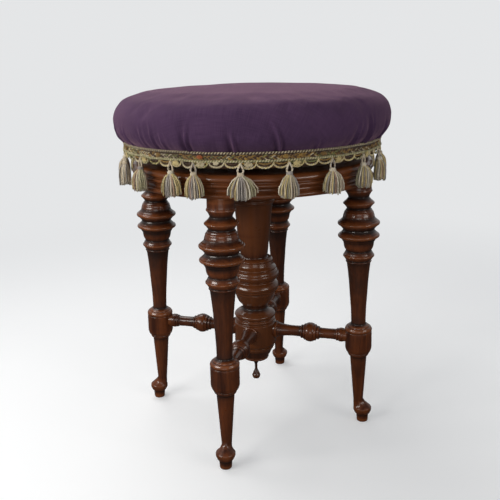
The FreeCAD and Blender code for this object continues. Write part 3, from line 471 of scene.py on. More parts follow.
def polished_walnut(name, turn=(0, 0, 0), tone=1.0):
    """Reddish walnut under old French polish, with wax and painted shade in its grooves. A tone under
    1 darkens all its colours.
    """
    material, tree, sockets = new_material(
        name, Coat_Weight=0.6, Coat_Roughness=0.13, Specular_IOR_Level=0.3
    )
    place = object_place(tree, turn)
    figure = use(
        tree, timber_figure, Place=place, Pale=darkened(0.158, 0.043, 0.0125, tone),
        Dark=darkened(0.045, 0.0108, 0.0038, tone), Pores=0.5,
    )
    # The depth in the turning sets the wax and painted shade in the grooves.
    hollow = add(tree, "ShaderNodeAttribute", attribute_name="hollow")
    polish = use(
        tree, old_polish, Place=place, Color=figure["Color"], Hollow=hollow.outputs["Fac"],
        Rubbed=darkened(0.25, 0.078, 0.023, tone),
    )
    tree.links.new(polish["Color"], sockets["Base Color"])
    tree.links.new(polish["Roughness"], sockets["Roughness"])
    bump(tree, sockets, figure["Height"], 0.12, 0.5)
    return material


def plain_deal(name):
    """Unpolished pale wood of the seat board, gone brown and dusty."""
    material, tree, sockets = new_material(name)
    place = object_place(tree, (0, math.pi / 2, 0))
    figure = use(
        tree, timber_figure, Place=place, Pale=(0.13, 0.072, 0.034, 1),
        Dark=(0.05, 0.026, 0.013, 1), Pores=0.3,
    )
    polish = use(
        tree, old_polish, Place=place, Color=figure["Color"], Hollow=0.45,
        Rubbed=(0.17, 0.1, 0.05, 1), Wax=(0.03, 0.018, 0.01, 1),
    )
    tree.links.new(polish["Color"], sockets["Base Color"])
    rough = maths(tree, "ADD", polish["Roughness"], 0.35)
    tree.links.new(rough, sockets["Roughness"])
    bump(tree, sockets, figure["Height"], 0.3)
    return material


def forged_iron(name, scale, rust, rusty, metallic=0.8):
    """Forged metal under its scale, with some rust."""
    material, tree, sockets = new_material(name, Metallic=metallic)
    iron = use(
        tree, old_iron, Place=object_place(tree), Scale_colour=scale, Rust=rust, Rusty=rusty
    )
    tree.links.new(iron["Color"], sockets["Base Color"])
    tree.links.new(iron["Roughness"], sockets["Roughness"])
    bump(tree, sockets, iron["Height"], 0.2, 0.6)
    return material


def purple_cloth():
    """Fine plain wool cloth, with a soft nap that shows at its edges."""
    material, tree, sockets = new_material(
        "purple_cloth", Roughness=0.9, Sheen_Weight=0.25, Sheen_Roughness=0.42,
        Sheen_Tint=(1.0, 0.58, 0.72, 1), Specular_IOR_Level=0.15,
    )
    place = add(tree, "ShaderNodeUVMap", uv_map="flat_cloth").outputs[0]
    weave = use(
        tree, woven_cloth, Place=place, Threads=1500.0, Color=(0.092, 0.046, 0.104, 1),
        Shade=(0.052, 0.026, 0.066, 1),
    )
    tree.links.new(weave["Color"], sockets["Base Color"])
    bump(tree, sockets, weave["Height"], 0.14, 0.6)
    return material


def linen(name, colour, shade):
    """Coarse tape behind the cords of the braid."""
    material, tree, sockets = new_material(name, Roughness=0.9, Sheen_Weight=0.2)
    weave = use(
        tree, woven_cloth, Place=object_place(tree), Threads=700.0, Color=colour, Shade=shade
    )
    tree.links.new(weave["Color"], sockets["Base Color"])
    bump(tree, sockets, weave["Height"], 0.3)
    return material


def thread(name, colour, second, twists):
    """Silky twisted thread in two dyes."""
    material, tree, sockets = new_material(
        name, Roughness=0.62, Sheen_Weight=0.3, Sheen_Roughness=0.4
    )
    place = add(tree, "ShaderNodeTexCoord")
    yarn = use(
        tree, spun_thread, Along=place.outputs["UV"], Place=place.outputs["Object"],
        Twists=twists, Color=colour, Second=second,
    )
    tree.links.new(yarn["Color"], sockets["Base Color"])
    bump(tree, sockets, yarn["Height"], 0.1, 0.5)
    return material


walnut_upright = polished_walnut("walnut_upright")
# The column and drop get a darker copy of the walnut: painted shade, for the seat's shadow over them.
walnut_painted_shade = polished_walnut("walnut_painted_shade", tone=0.58)
walnut_along_x = polished_walnut("walnut_along_x", (0, math.pi / 2, 0), 0.85)
walnut_along_y = polished_walnut("walnut_along_y", (math.pi / 2, 0, 0), 0.85)
deal = plain_deal("plain_deal")
iron = forged_iron("oiled_iron", (0.07, 0.068, 0.065, 1), (0.1, 0.05, 0.03, 1), 0.42)
screw_steel = forged_iron("dull_steel", (0.3, 0.29, 0.28, 1), (0.16, 0.09, 0.05, 1), 0.4, 1.0)
blued = forged_iron("blued_tacks", (0.03, 0.035, 0.05, 1), (0.06, 0.03, 0.02, 1), 0.35)
cloth = purple_cloth()

CORD_TWISTS = 30.0
YARN_TWISTS = 14.0
cream_cord = thread("cream_cord", (0.82, 0.71, 0.47, 1), (0.52, 0.42, 0.23, 1), CORD_TWISTS)
gold_cord = thread("gold_cord", (0.46, 0.27, 0.055, 1), (0.22, 0.115, 0.03, 1), CORD_TWISTS)
olive_cord = thread("olive_cord", (0.34, 0.34, 0.11, 1), (0.15, 0.15, 0.05, 1), CORD_TWISTS)
brown_cord = thread("brown_cord", (0.1, 0.045, 0.02, 1), (0.045, 0.022, 0.012, 1), CORD_TWISTS)
rust_cord = thread("rust_cord", (0.5, 0.13, 0.025, 1), (0.27, 0.06, 0.015, 1), CORD_TWISTS)
straw_cord = thread("straw_cord", (0.88, 0.72, 0.34, 1), (0.62, 0.46, 0.16, 1), CORD_TWISTS)
YARNS = (
    thread("beige_yarn", (0.86, 0.73, 0.53, 1), (0.6, 0.49, 0.34, 1), YARN_TWISTS),
    thread("grey_yarn", (0.5, 0.45, 0.4, 1), (0.33, 0.29, 0.26, 1), YARN_TWISTS),
    thread("sage_yarn", (0.62, 0.56, 0.34, 1), (0.4, 0.36, 0.19, 1), YARN_TWISTS),
    thread("straw_yarn", (0.84, 0.68, 0.32, 1), (0.6, 0.46, 0.18, 1), YARN_TWISTS),
    thread("rosy_yarn", (0.62, 0.4, 0.28, 1), (0.4, 0.23, 0.15, 1), YARN_TWISTS),
    thread("cream_yarn", (0.95, 0.87, 0.7, 1), (0.74, 0.64, 0.47, 1), YARN_TWISTS),
)


def dress(piece, body, slot, *replaced, materials=()):
    """Gives a finished piece its materials and its body, and hides the nodes that it stands for. The
    slot is not used.
    """
    for material in materials:
        piece.data.materials.append(material)
    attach(piece, body)
    if replaced:
        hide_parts(*replaced)
    return piece


# Turned wood of the stand


def leg_profile():
    """Half section of a leg about its own axis, from the floor up, in millimetres."""
    under = board_low
    return [
        (0, 0),
        (6.6, 0),
        (8.2, 1.3, 0.4),
        (8.8, 10.4),
        (9.3, 12.2, -0.3),
        (12.2, 16.4, 0.7),
        (13.2, 20.8, 0.5),
        (12.6, 23.2, 0.4),
        (ANKLE_RADIUS, ANKLE, -0.5),
        (12.0, knee - 31.2),
        (12.3, knee - 29.6),
        (13.4, knee - 28.6, -0.3),
        (15.2, knee - 25.8, 0.4),
        (15.6, knee - 24.4, 0.2),
        (15.3, knee - 24.0),
        (18.3, knee - 19.2, 0.8),
        (19.2, knee - 16.4, 0.2),
        (19.3, knee + 8.8),
        (18.7, knee + 9.2),
        (18.7, knee + 10.0),
        (19.2, knee + 10.5),
        (18.4, knee + 15.0, 0.7),
        (16.4, knee + 16.2, 0.5),
        (15.8, knee + 16.3),
        (15.6, knee + 17.0),
        (13.8, knee + 18.6, 0.5),
        (12.0, knee + 19.4, 0.2),
        (11.6, knee + 19.7),
        (10.6, knee + 22.2, -0.6),
        (10.4, knee + 24.0),
        (12.6, knee + 68.0, -0.4),
        (16.8, knee + 114.6, -0.5),
        (17.6, knee + 115.2),
        (17.6, knee + 117.0, 0.6),
        (17.0, knee + 117.6),
        (20.3, under - 110.6, 0.4),
        (20.3, under - 106.6, 1.6),
        (17.6, under - 101.5, 0.4),
        (17.9, under - 100.4),
        (21.0, under - 92.0, 0.7),
        (21.6, under - 88.3),
        (24.0, under - 84.0, 0.3),
        (26.6, under - 81.8, 0.3),
        (26.8, under - 77.0, 2.3),
        (24.0, under - 74.2, 0.2),
        (21.6, under - 70.4, -0.3),
        (21.9, under - 69.6),
        (24.4, under - 66.4, 0.3),
        (26.8, under - 64.0, 0.3),
        (26.8, under - 58.6, 2.5),
        (24.6, under - 56.4, 0.3),
        (22.4, under - 53.6, -0.2),
        (22.0, under - 53.0),
        (20.6, under - 47.4, 0.3),
        (18.8, under - 44.2, 0.6),
        (16.6, under - 41.0, 0.5),
        (16.4, under - 40.2),
        (20.6, under - 34.4, -0.2),
        (20.8, under - 31.8, 1.0),
        (18.6, under - 29.8, 0.2),
        (14.2, under - 24.6, -0.2),
        (17.9, under - 17.2, -0.4),
        (18.4, under - 15.4, 0.5),
        (17.5, under - 13.8, 0.3),
        (17.4, under - 2.0),
        (17.6, under + 0.6),
        (0, under + 0.6),
    ]


# The foot: its widest height, where it leaves the shin, and how far out its own axis stands.
TOE = 20.8
ANKLE = 35.5
ANKLE_RADIUS = 7.1
TOE_OUT = 6.2
TOE_RING = 2.4
CONE_RADIUS = 12.6


def reach_of_circle(start, way, centre, radius):
    """How far a ray from a point on the leg's middle line goes before it leaves a circle."""
    off = start - centre
    along = off * way.x
    inside = along * along - off * off + radius * radius
    if inside < 0:
        return 0
    return math.sqrt(inside) - along


def join_foot(mesh):
    """Sets the foot on its own axis, and keeps the round shin standing on top of it."""
    for vertex in mesh.vertices:
        height = vertex.co.z / MM
        radius = math.hypot(vertex.co.x, vertex.co.y) / MM
        if height > ANKLE + 0.1 or radius < 0.5:
            if height < ANKLE:
                vertex.co.x += TOE_OUT * MM
            continue
        way = Vector((vertex.co.x, vertex.co.y)).normalized()
        share = min(1, max(0, (ANKLE - height) / (ANKLE - TOE)))
        start = TOE_OUT * share
        cone = radius
        if height >= TOE + TOE_RING + 0.1:
            cone = (ANKLE - height) / (ANKLE - TOE - TOE_RING) * CONE_RADIUS
        reach = reach_of_circle(start, way, TOE_OUT, cone)
        if height > TOE - 4:
            reach = max(reach, reach_of_circle(start, way, 0, ANKLE_RADIUS - 0.05))
        vertex.co.x = (start + way.x * reach) * MM
        vertex.co.y = way.y * reach * MM


def legs():
    """Four legs: turned, with the foot turned on its second centre, then set leaning."""
    mesh = turning("leg_turning", leg_profile())
    join_foot(mesh)
    lean = Matrix.Rotation(-leg_lean, 4, "Y")
    out = Matrix.Translation((leg_axis_floor * MM, 0, 0))
    for side, angle in QUARTERS.items():
        leg = linked(f"walnut_leg_{side}", mesh.copy())
        leg.data.transform(Matrix.Rotation(math.radians(angle), 4, "Z") @ out @ lean)
        dress(leg, "base", "polished_wood", f"leg_{side}", materials=[walnut_upright])


def board_profile():
    """Section of the top board, with the recess for the iron nut, and its moulded edge."""
    edge = 170.4
    low = board_low
    return [
        (17.4, low),
        (edge - 2.2, low),
        (edge - 1.2, low + 0.6, 0.3),
        (edge - 1.0, low + 5.4, 1.5),
        (edge - 2.4, low + 6.2, 0.2),
        (edge - 3.0, low + 6.3),
        (edge - 6.4, low + 11.2, -1.3),
        (edge - 5.2, low + 12.4),
        (edge - 3.4, low + 13.0),
        (edge - 3.4, low + 17.4, 1.5),
        (edge - 5.2, low + 17.7),
        (edge - 4.6, low + 19.6, -0.4),
        (edge - 2.6, low + 20.6),
        (edge - 8.5, board_high, 2.1),
        (31.4, board_high),
        (31.4, board_high - 4.4),
        (17.4, board_high - 4.4),
        (17.4, low),
    ]


def top_board():
    """The board that the legs and column hold up."""
    mesh = turning("board_turning", board_profile(), 144)
    board = linked("walnut_top_board", mesh)
    dress(board, "base", "polished_wood", "top_board", materials=[walnut_along_x])


def column_profile():
    """Section of the centre column, from its hollow foot up to the board."""
    under = board_low
    bulb = under - 154.6
    return [
        (17.2, column_end + 15.0),
        (9.0, column_end + 15.0),
        (9.0, column_end + 0.2),
        (28.2, column_end + 0.2),
        (30.8, column_end + 1.8, 0.5),
        (31.5, column_end + 4.0, 0.1),
        (31.5, knee + 11.0),
        (30.9, knee + 11.6),
        (28.6, knee + 12.4, 0.3),
        (28.2, knee + 13.4),
        (29.6, knee + 15.0, 0.3),
        (29.6, knee + 17.4, 0.6),
        (27.7, knee + 18.4),
        (27.7, knee + 19.4),
        (29.5, knee + 21.0, 0.3),
        (29.3, knee + 26.6, 1.4),
        (26.4, knee + 28.6, 0.3),
        (18.6, knee + 34.2, -1.0),
        (18.4, knee + 36.4),
        (20.6, knee + 40.6, -0.3),
        (28.8, bulb - 22.6, 1.4),
        (30.6, bulb - 19.0, 0.3),
        (30.2, bulb - 17.8),
        (33.6, bulb - 15.6, 0.3),
        (34.6, bulb - 12.0, 0.4),
        (35.0, bulb - 11.6),
        (36.2, bulb - 9.4, 0.3),
        (35.6, bulb - 6.6, 0.3),
        (32.8, bulb - 2.6, 0.5),
        (30.4, bulb - 0.9, -0.2),
        (30.4, bulb + 0.9),
        (33.2, bulb + 2.8, 0.2),
        (35.8, bulb + 6.2, 0.4),
        (36.4, bulb + 9.4, 0.3),
        (35.2, bulb + 12.2, 0.3),
        (34.7, bulb + 12.6),
        (33.0, bulb + 16.4, 0.4),
        (31.6, bulb + 17.6),
        (31.6, bulb + 20.6, 0.8),
        (29.2, bulb + 22.4, 0.1),
        (27.2, bulb + 27.4, -0.5),
        (26.2, bulb + 29.6),
        (26.6, bulb + 32.4, 1.0),
        (24.6, bulb + 34.2, 0.3),
        (20.4, bulb + 34.8),
        (19.8, bulb + 36.2),
        (21.7, under - 100.0, 0.2),
        (24.4, under - 79.0),
        (27.9, under - 40.5, -0.3),
        (28.4, under - 38.4),
        (30.0, under - 37.4, 0.2),
        (30.9, under - 34.4, 0.5),
        (30.4, under - 31.6, 0.4),
        (29.6, under - 30.8),
        (30.2, under - 26.0, 0.3),
        (30.9, under - 6.0),
        (30.9, under + 0.5),
        (17.2, under + 0.5),
        (17.2, column_end + 15.0),
    ]


def centre_column():
    """The hollow column that the screw runs down."""
    mesh = turning("column_turning", column_profile())
    column = linked("walnut_column", mesh)
    dress(column, "base", "polished_wood", "centre_column", materials=[walnut_painted_shade])


def drop_profile():
    """Half section of the cup and drop under the column."""
    end = column_end
    return [
        (0, end - 61.6),
        (3.0, end - 60.9, 0.5),
        (5.7, end - 57.2, 1.0),
        (5.5, end - 53.6, 0.7),
        (3.0, end - 47.2, 0.2),
        (2.0, end - 43.0, -0.4),
        (2.1, end - 39.4),
        (4.2, end - 32.4, -0.8),
        (9.6, end - 27.4, -0.9),
        (17.6, end - 25.0, -0.3),
        (19.2, end - 24.0, 0.3),
        (19.6, end - 22.2, 0.2),
        (19.3, end - 21.8),
        (22.4, end - 15.6, -0.2),
        (26.4, end - 8.0, -0.2),
        (28.2, end - 4.4, 0.1),
        (28.7, end - 3.0, 0.2),
        (26.6, end - 2.2, 0.2),
        (26.6, end),
        (8.0, end),
        (8.0, end + 13.8),
        (0, end + 13.8),
    ]


def drop():
    """The drop plugged into the column's foot."""
    mesh = turning("drop_turning", drop_profile(), 48)
    made = linked("walnut_drop", mesh)
    dress(made, "base", "polished_wood", "drop_finial", materials=[walnut_painted_shade])


def stretcher_profile():
    """Half section of a stretcher, measured out from the stool's axis."""
    middle = 84.9
    return [
        (0, 20.0),
        (12.0, 20.0),
        (12.2, 31.5),
        (12.6, 33.0),
        (12.2, 34.8, 0.5),
        (10.9, 35.6, -0.2),
        (10.7, 37.4, 0.1),
        (9.0, 45.0, -0.2),
        (8.2, 52.0, -0.1),
        (7.9, 62.0, -0.1),
        (8.2, middle - 14.2),
        (9.4, middle - 13.6, 0.1),
        (9.9, middle - 12.0, 0.4),
        (9.5, middle - 10.4, 0.3),
        (9.6, middle - 10.0),
        (11.6, middle - 8.8, 0.3),
        (12.2, middle - 7.4, 0.3),
        (11.8, middle - 6.4, 0.2),
        (13.8, middle - 3.6, 0.4),
        (14.2, middle, 0.2),
        (13.8, middle + 3.6, 0.2),
        (11.8, middle + 6.4, 0.4),
        (12.2, middle + 7.4, 0.2),
        (11.6, middle + 8.8, 0.3),
        (9.6, middle + 10.0, 0.3),
        (9.5, middle + 10.4),
        (9.9, middle + 12.0, 0.3),
        (9.4, middle + 13.6, 0.4),
        (8.1, middle + 14.2),
        (7.7, middle + 26.0, -0.2),
        (8.0, middle + 38.8, -0.2),
        (9.3, middle + 40.2, 0.2),
        (9.0, middle + 42.0, 0.3),
        (8.7, middle + 42.4),
        (10.0, middle + 44.0, 0.3),
        (10.2, middle + 48.4, 0.3),
        (9.6, middle + 50.0, 0.2),
        (9.4, middle + 56.0),
        (0, middle + 56.0),
    ]


def stretchers():
    """Four stretchers, turned once and laid out from the column to the legs."""
    mesh = turning("stretcher_turning", stretcher_profile(), 48)
    lay = Matrix.Translation((0, 0, knee * MM)) @ Matrix.Rotation(math.pi / 2, 4, "Y")
    for side, angle in QUARTERS.items():
        made = linked(f"walnut_stretcher_{side}", mesh.copy())
        made.data.transform(Matrix.Rotation(math.radians(angle), 4, "Z") @ lay)
        wood = walnut_along_x if side in ("right", "left") else walnut_along_y
        dress(made, "base", "polished_wood", f"stretcher_{side}", materials=[wood])


# The seat

CROWN = 496.9
WIDEST_RADIUS = 189.3
WIDEST_HEIGHT = 450.5
SHOULDER_RADIUS = 159.5
SHOULDER_FALL = 8.4
TUCK_RADIUS = 176.2
TUCK_HEIGHT = 427.0
VOXEL = 4.5
SIM_FRAMES = 20
SIM_CAP = 1.8
# The cover as cloth: how high it is held, how hard it is blown up, its growth and stiffness.
HELD_HEIGHT = 4.0
CLOTH_PRESSURE = 1.2
CLOTH_SHRINK = -0.006
CLOTH_STIFFNESS = 0.6
TUCK_DEPTH = 1.5
TUCK_WIDTH = 24.0
# The valley, ridge and falling side of a tuck: share of its depth, place and width across it.
TUCK_FORM = ((-0.95, -4.2, 3.0), (1.0, 0.0, 1.4), (-0.45, 3.2, 2.0))
# Gathers at the edge: how often round and up, their size and how fast they fade upwards.
GATHERS = ((14, 5, 1.9, 1.5), (38, 8, 0.8, 2))
GATHER_REACH = 40.0
# Lumps of the stuffing: how often and how large, and the height over which they grow.
LUMPS = ((13, 0.7), (34, 0.3))
LUMP_RISE = 20
FULLER_IN_FRONT = 0.5
# Pinched tucks: degrees from the right, height, depth and sideways run of the top, in millimetres.
TUCKS = (
    (-120.3, 30.0, 1.3, -2.0), (-114.3, 34.0, 1.6, -2.0), (-109.5, 26.0, 1.2, -2.0),
    (-99.1, 38.0, 2.8, 2.4), (-81.2, 28.0, 2.8, -3.0), (-64.5, 38.0, 2.6, -11.0),
    (-50.0, 18.0, 1.2, -2.0), (-31.9, 30.0, 2.2, 4.0), (-22.8, 36.0, 2.8, -6.0),
    (-133.0, 24.0, 1.6, -3.0), (-147.0, 30.0, 2.2, 2.0), (-163.0, 22.0, 2.4, -3.0),
    (-178.0, 28.0, 1.8, -4.0), (163.0, 30.0, 2.6, 3.0), (148.0, 20.0, 1.5, -3.0),
    (131.0, 32.0, 2.4, -4.0), (113.0, 26.0, 2.0, 3.0), (97.0, 30.0, 2.6, -3.0),
    (79.0, 22.0, 1.6, -2.0), (62.0, 30.0, 2.2, 4.0), (45.0, 25.0, 2.4, -3.0),
    (27.0, 32.0, 1.8, -3.0), (9.0, 24.0, 2.4, 3.0), (-7.0, 28.0, 2.0, -4.0),
)


def dome_bulge(rim, rise):
    """The bulge of the arc from a rim up to the axis, so that it ends level there."""
    chord = math.hypot(rim, rise)
    return chord * (chord - rim) / (rise * 2)


def cushion_profile():
    """Half section of the stuffed seat, from the board's middle out, round and up to the crown."""
    return [
        (0, TUCK_HEIGHT - 3.0),
        (TUCK_RADIUS - 1.0, TUCK_HEIGHT - 3.0),
        (TUCK_RADIUS, TUCK_HEIGHT),
        (WIDEST_RADIUS, WIDEST_HEIGHT, 4.2),
        (SHOULDER_RADIUS, CROWN - SHOULDER_FALL, 10.8),
        (0, CROWN, dome_bulge(SHOULDER_RADIUS, SHOULDER_FALL)),
    ]


def swell(cushion):
    """Blows the cover up a little as cloth held at its lower edge, so that it lies like cloth."""
    start = [vertex.co.copy() for vertex in cushion.data.vertices]
    held = cushion.vertex_groups.new(name="held")
    low = [v.index for v in cushion.data.vertices if v.co.z < (TUCK_HEIGHT + HELD_HEIGHT) * MM]
    held.add(low, 1.0, "REPLACE")
    cloth_modifier = cushion.modifiers.new("cover", "CLOTH")
    settings = cloth_modifier.settings
    settings.quality = 6
    settings.mass = 0.2
    settings.vertex_group_mass = "held"
    settings.use_pressure = True
    settings.uniform_pressure_force = CLOTH_PRESSURE
    settings.shrink_min = CLOTH_SHRINK
    settings.bending_stiffness = CLOTH_STIFFNESS
    settings.effector_weights.gravity = 0
    cloth_modifier.collision_settings.use_collision = False
    scene = bpy.context.scene
    for number in range(1, SIM_FRAMES + 1):
        scene.frame_set(number)
    swollen = evaluated(cushion)
    cushion.modifiers.remove(cloth_modifier)
    cushion.data = swollen
    cushion.vertex_groups.clear()
    scene.frame_set(1)
    for vertex, before in zip(cushion.data.vertices, start):
        moved = vertex.co - before
        if moved.length > SIM_CAP * MM:
            vertex.co = before + moved.normalized() * SIM_CAP * MM


def tuck_push(angle, height):
    """How far the cover stands out at an angle and height, beside and in its pinched tucks."""
    push = 0
    for middle, reach, depth, run in TUCKS:
        above = (height - TUCK_HEIGHT) / reach
        if not -0.3 < above < 1:
            continue
        away = (angle - middle + 180) % 360 - 180
        along = away * math.radians(1) * TUCK_RADIUS - run * max(0, above) ** 1.5
        if abs(along) > TUCK_WIDTH:
            continue
        fade = math.cos(max(0, above) * math.pi / 2) ** 0.7
        wide = 1 + max(0, above) * 0.8
        form = sum(
            share * math.exp(-((along - place) / width / wide) ** 2)
            for share, place, width in TUCK_FORM
        )
        push += TUCK_DEPTH * depth * fade * form
    return push


def gather(cushion):
    """Works the tucks, small gathers and the slight unevenness of stuffing into the cover."""
    for vertex in cushion.data.vertices:
        co = vertex.co
        if co.z < (TUCK_HEIGHT - 1.0) * MM:
            continue
        angle = math.degrees(math.atan2(co.y, co.x))
        height = co.z / MM
        out = Vector((co.x, co.y, 0)).normalized()
        low = max(0, 1 - (height - TUCK_HEIGHT) / GATHER_REACH)
        round_place = Vector((math.cos(math.radians(angle)), math.sin(math.radians(angle)), 0))
        folds = sum(
            noise.noise(round_place * often + Vector((0, 0, co.z * upward))) * size * low ** fade
            for often, upward, size, fade in GATHERS
        )
        lumps = sum(noise.noise(co * often) * size for often, size in LUMPS)
        up = Vector((co.x / WIDEST_RADIUS / MM * 0.6, co.y / WIDEST_RADIUS / MM * 0.6, 0.8))
        share = min(1, max(0, (height - TUCK_HEIGHT) / LUMP_RISE))
        side = math.cos(math.radians(angle) - CAMERA_SIDE)
        fuller = FULLER_IN_FRONT * side * share
        push = tuck_push(angle, height) + folds + fuller
        vertex.co = co + (out * push + up.normalized() * lumps * share) * MM
        vertex.co.z += fuller * math.hypot(co.x, co.y) / WIDEST_RADIUS


def cloth_map(cushion):
    """A flat map of the cover in metres: round the crown's middle, along the cloth."""
    points = traced(cushion_profile())
    tree = kdtree.KDTree(len(points))
    run = [0]
    for here, before in zip(reversed(points[:-1]), reversed(points[1:])):
        run.append(run[-1] + (here - before).length)
    for number, point in enumerate(reversed(points)):
        tree.insert((point.x, 0, point.y), number)
    tree.balance()
    mesh = cushion.data
    layer = mesh.uv_layers.new(name="flat_cloth")
    for loop in mesh.loops:
        co = mesh.vertices[loop.vertex_index].co
        radius = math.hypot(co.x, co.y)
        near, index, _ = tree.find((radius / MM, 0, co.z / MM))
        beside = min(index + 1, len(run) - 1)
        first = Vector((points[-1 - index].x, points[-1 - index].y))
        second = Vector((points[-1 - beside].x, points[-1 - beside].y))
        step = (second - first).length or 1
        share = (Vector((radius / MM, co.z / MM)) - first).dot(second - first) / step / step
        length = run[index] + (run[beside] - run[index]) * share
        stretch = length * MM / radius if radius > MM else 1.0
        layer.data[loop.index].uv = (co.x * stretch, co.y * stretch)


def evaluated(piece):
    """A mesh of a piece with its modifiers worked out."""
    graph = bpy.context.evaluated_depsgraph_get()
    return bpy.data.meshes.new_from_object(piece.evaluated_get(graph))


def stuffed_seat():
    """The purple cover over its stuffing: remeshed evenly, swollen as cloth, then gathered."""
    bm = spun(traced(cushion_profile()), 120)
    mesh = bpy.data.meshes.new("seat_cushion")
    bm.to_mesh(mesh)
    bm.free()
    cushion = linked("seat_cushion", mesh)
    remesh = cushion.modifiers.new("even", "REMESH")
    remesh.mode = "VOXEL"
    remesh.voxel_size = VOXEL * MM
    cushion.data = evaluated(cushion)
    cushion.modifiers.remove(remesh)
    swell(cushion)
    bm = bmesh.new()
    bm.from_mesh(cushion.data)
    bmesh.ops.smooth_vert(
        bm, verts=bm.verts, factor=0.5, use_axis_x=True, use_axis_y=True, use_axis_z=True
    )
    bm.to_mesh(cushion.data)
    bm.free()
    smooth = cushion.modifiers.new("smooth", "SUBSURF")
    smooth.levels = 1
    cushion.data = evaluated(cushion)
    cushion.modifiers.remove(smooth)
    bm = bmesh.new()
    bm.from_mesh(cushion.data)
    side = [
        edge for edge in bm.edges
        if (TUCK_HEIGHT - 1) * MM < edge.verts[0].co.z < WIDEST_HEIGHT * MM
    ]
    bmesh.ops.subdivide_edges(bm, edges=side, cuts=1, use_grid_fill=True, smooth=0.0)
    bm.to_mesh(cushion.data)
    bm.free()
    gather(cushion)
    cushion.data.shade_smooth()
    cloth_map(cushion)
    dress(cushion, "seat", "cover_cloth", "seat_cover", "stuffing_pad", materials=[cloth])


# Trim

TASSELS = 20
TASSEL_START = -97.7
TASSEL_STEP = 18.4
BETWEEN = 3
AT_JOIN = 2
TRIM_RADIUS = 177.2
TOP_CORD_HEIGHT = 425.9
PLAIT_HEIGHT = 420.8
MIDDLE_CORD_HEIGHT = 416.3
RUST_TUFT = -94.9
DEGREES_PER_MM = math.degrees(1 / TRIM_RADIUS)
SCALLOP_DEPTH = 7.6
# A tuft's rings of petals: their length and number, and how wide and tall each kind of tuft is.
PETAL_RINGS = ((1.0, 17), (0.55, 11))
LARGE_TUFT = (5.4, 4.0)
SMALL_TUFT = (3.4, 2.6)
BAND_TUFT = (4.0, 2.7)
BAND_TUFTS = 14
RUST_TUFTS = (0, 4, 9)


def polar(angle, radius, height):
    """A point of the part from degrees, and millimetres out and up."""
    turn = math.radians(angle)
    return Vector((math.cos(turn) * radius, math.sin(turn) * radius, height)) * MM


def close_ends(mesh):
    """Puts a cap on each open end of a mesh of cords, in the colour of its cord."""
    bm = bmesh.new()
    bm.from_mesh(mesh)
    open_edges = [edge for edge in bm.edges if edge.is_boundary]
    caps = bmesh.ops.holes_fill(bm, edges=open_edges, sides=0)["faces"]
    for cap in caps:
        beside = next(face for face in cap.edges[0].link_faces if face is not cap)
        cap.material_index = beside.material_index
    bmesh.ops.recalc_face_normals(bm, faces=bm.faces)
    bm.to_mesh(mesh)
    bm.free()


def cords(name, runs, thickness, materials, sides=1):
    """A mesh of round cords. Each run is (points, material number, closed)."""
    curve = bpy.data.curves.new(name, "CURVE")
    curve.dimensions = "3D"
    curve.bevel_depth = thickness * MM
    curve.bevel_resolution = sides
    for material in materials:
        curve.materials.append(material)
    for points, number, closed in runs:
        spline = curve.splines.new("POLY")
        spline.points.add(len(points) - 1)
        for target, point in zip(spline.points, points):
            target.co = (*point, 1)
        spline.use_cyclic_u = closed
        spline.material_index = number
        spline.use_smooth = True
    holder = bpy.data.objects.new(name, curve)
    mesh = bpy.data.meshes.new_from_object(holder)
    mesh.name = name
    bpy.data.objects.remove(holder)
    bpy.data.curves.remove(curve)
    close_ends(mesh)
    return mesh


def scallop_edges():
    """The degrees where scallops meet, from the first tassel round to it again."""
    step = TASSEL_STEP / BETWEEN
    edges = [TASSEL_START + step * number for number in range(BETWEEN * (TASSELS - 1) + 1)]
    join = (TASSEL_START + 360 - edges[-1]) / AT_JOIN
    return edges + [edges[-1] + join * number for number in range(1, AT_JOIN + 1)]


def round_cord(height, radius, twist, turns, phase, wander):
    """One ply of a twisted cord that runs once round the seat."""
    per_turn = 7
    points = []
    count = turns * per_turn
    for number in range(count):
        angle = 360 * number / count
        turn = FULL_TURN * number / per_turn + phase
        place = Vector((math.cos(math.radians(angle)), math.sin(math.radians(angle)), height))
        lift = noise.noise(place * 6) * wander
        points.append(
            polar(angle, radius + math.cos(turn) * twist, height + lift + math.sin(turn) * twist)
        )
    return points


def edge_cords():
    """The beaded cords along the top and the middle of the braid: a pale ply round a dark one."""
    runs = []
    for height, turns, wander, dark in (
        (TOP_CORD_HEIGHT, 300, 0.5, 3), (MIDDLE_CORD_HEIGHT, 330, 1.3, 1),
    ):
        for phase, pick in ((0, 0), (math.pi, dark)):
            ply = round_cord(height, TRIM_RADIUS + 0.9, 0.8, turns, phase, wander)
            runs.append((ply, pick, True))
    mesh = cords("braid_cords", runs, 0.8, [cream_cord, olive_cord, gold_cord, brown_cord])
    made = linked("braid_cords", mesh)
    dress(made, "seat", "braid")


def plait():
    """Three flat strands plaited round the band, changing colour in patches."""
    rng = random.Random(3)
    runs = []
    periods = 78
    per_period = 14
    count = periods * per_period
    strands = 3
    threads = (-0.95, 0.25)
    for strand in range(strands):
        for offset in threads:
            points = []
            for number in range(count):
                phase = FULL_TURN * (number / per_period + strand / strands)
                place = Vector((number * 0.11, strand, offset))
                over = math.sin(2 * phase) * 0.6 + 0.3 * noise.noise(place)
                rise = math.sin(phase) * 2.3 + offset + 0.5 * noise.noise(place * 1.7)
                points.append(
                    polar(360 * number / count, TRIM_RADIUS + 0.2 + over, PLAIT_HEIGHT + rise)
                )
            start = 0
            while start < count:
                end = min(count, start + rng.randint(10, 34))
                stretch = [points[number % count] for number in range(start, end + 1)]
                runs.append((stretch, rng.choice((0, 0, 1, 1, 2, 2, 2, 2, 3, 0)), False))
                start = end
    dyes = [gold_cord, olive_cord, brown_cord, cream_cord, rust_cord]
    mesh = cords("braid_plait", runs, 0.72, dyes, 0)
    made = linked("braid_plait", mesh)
    dress(made, "seat", "braid")


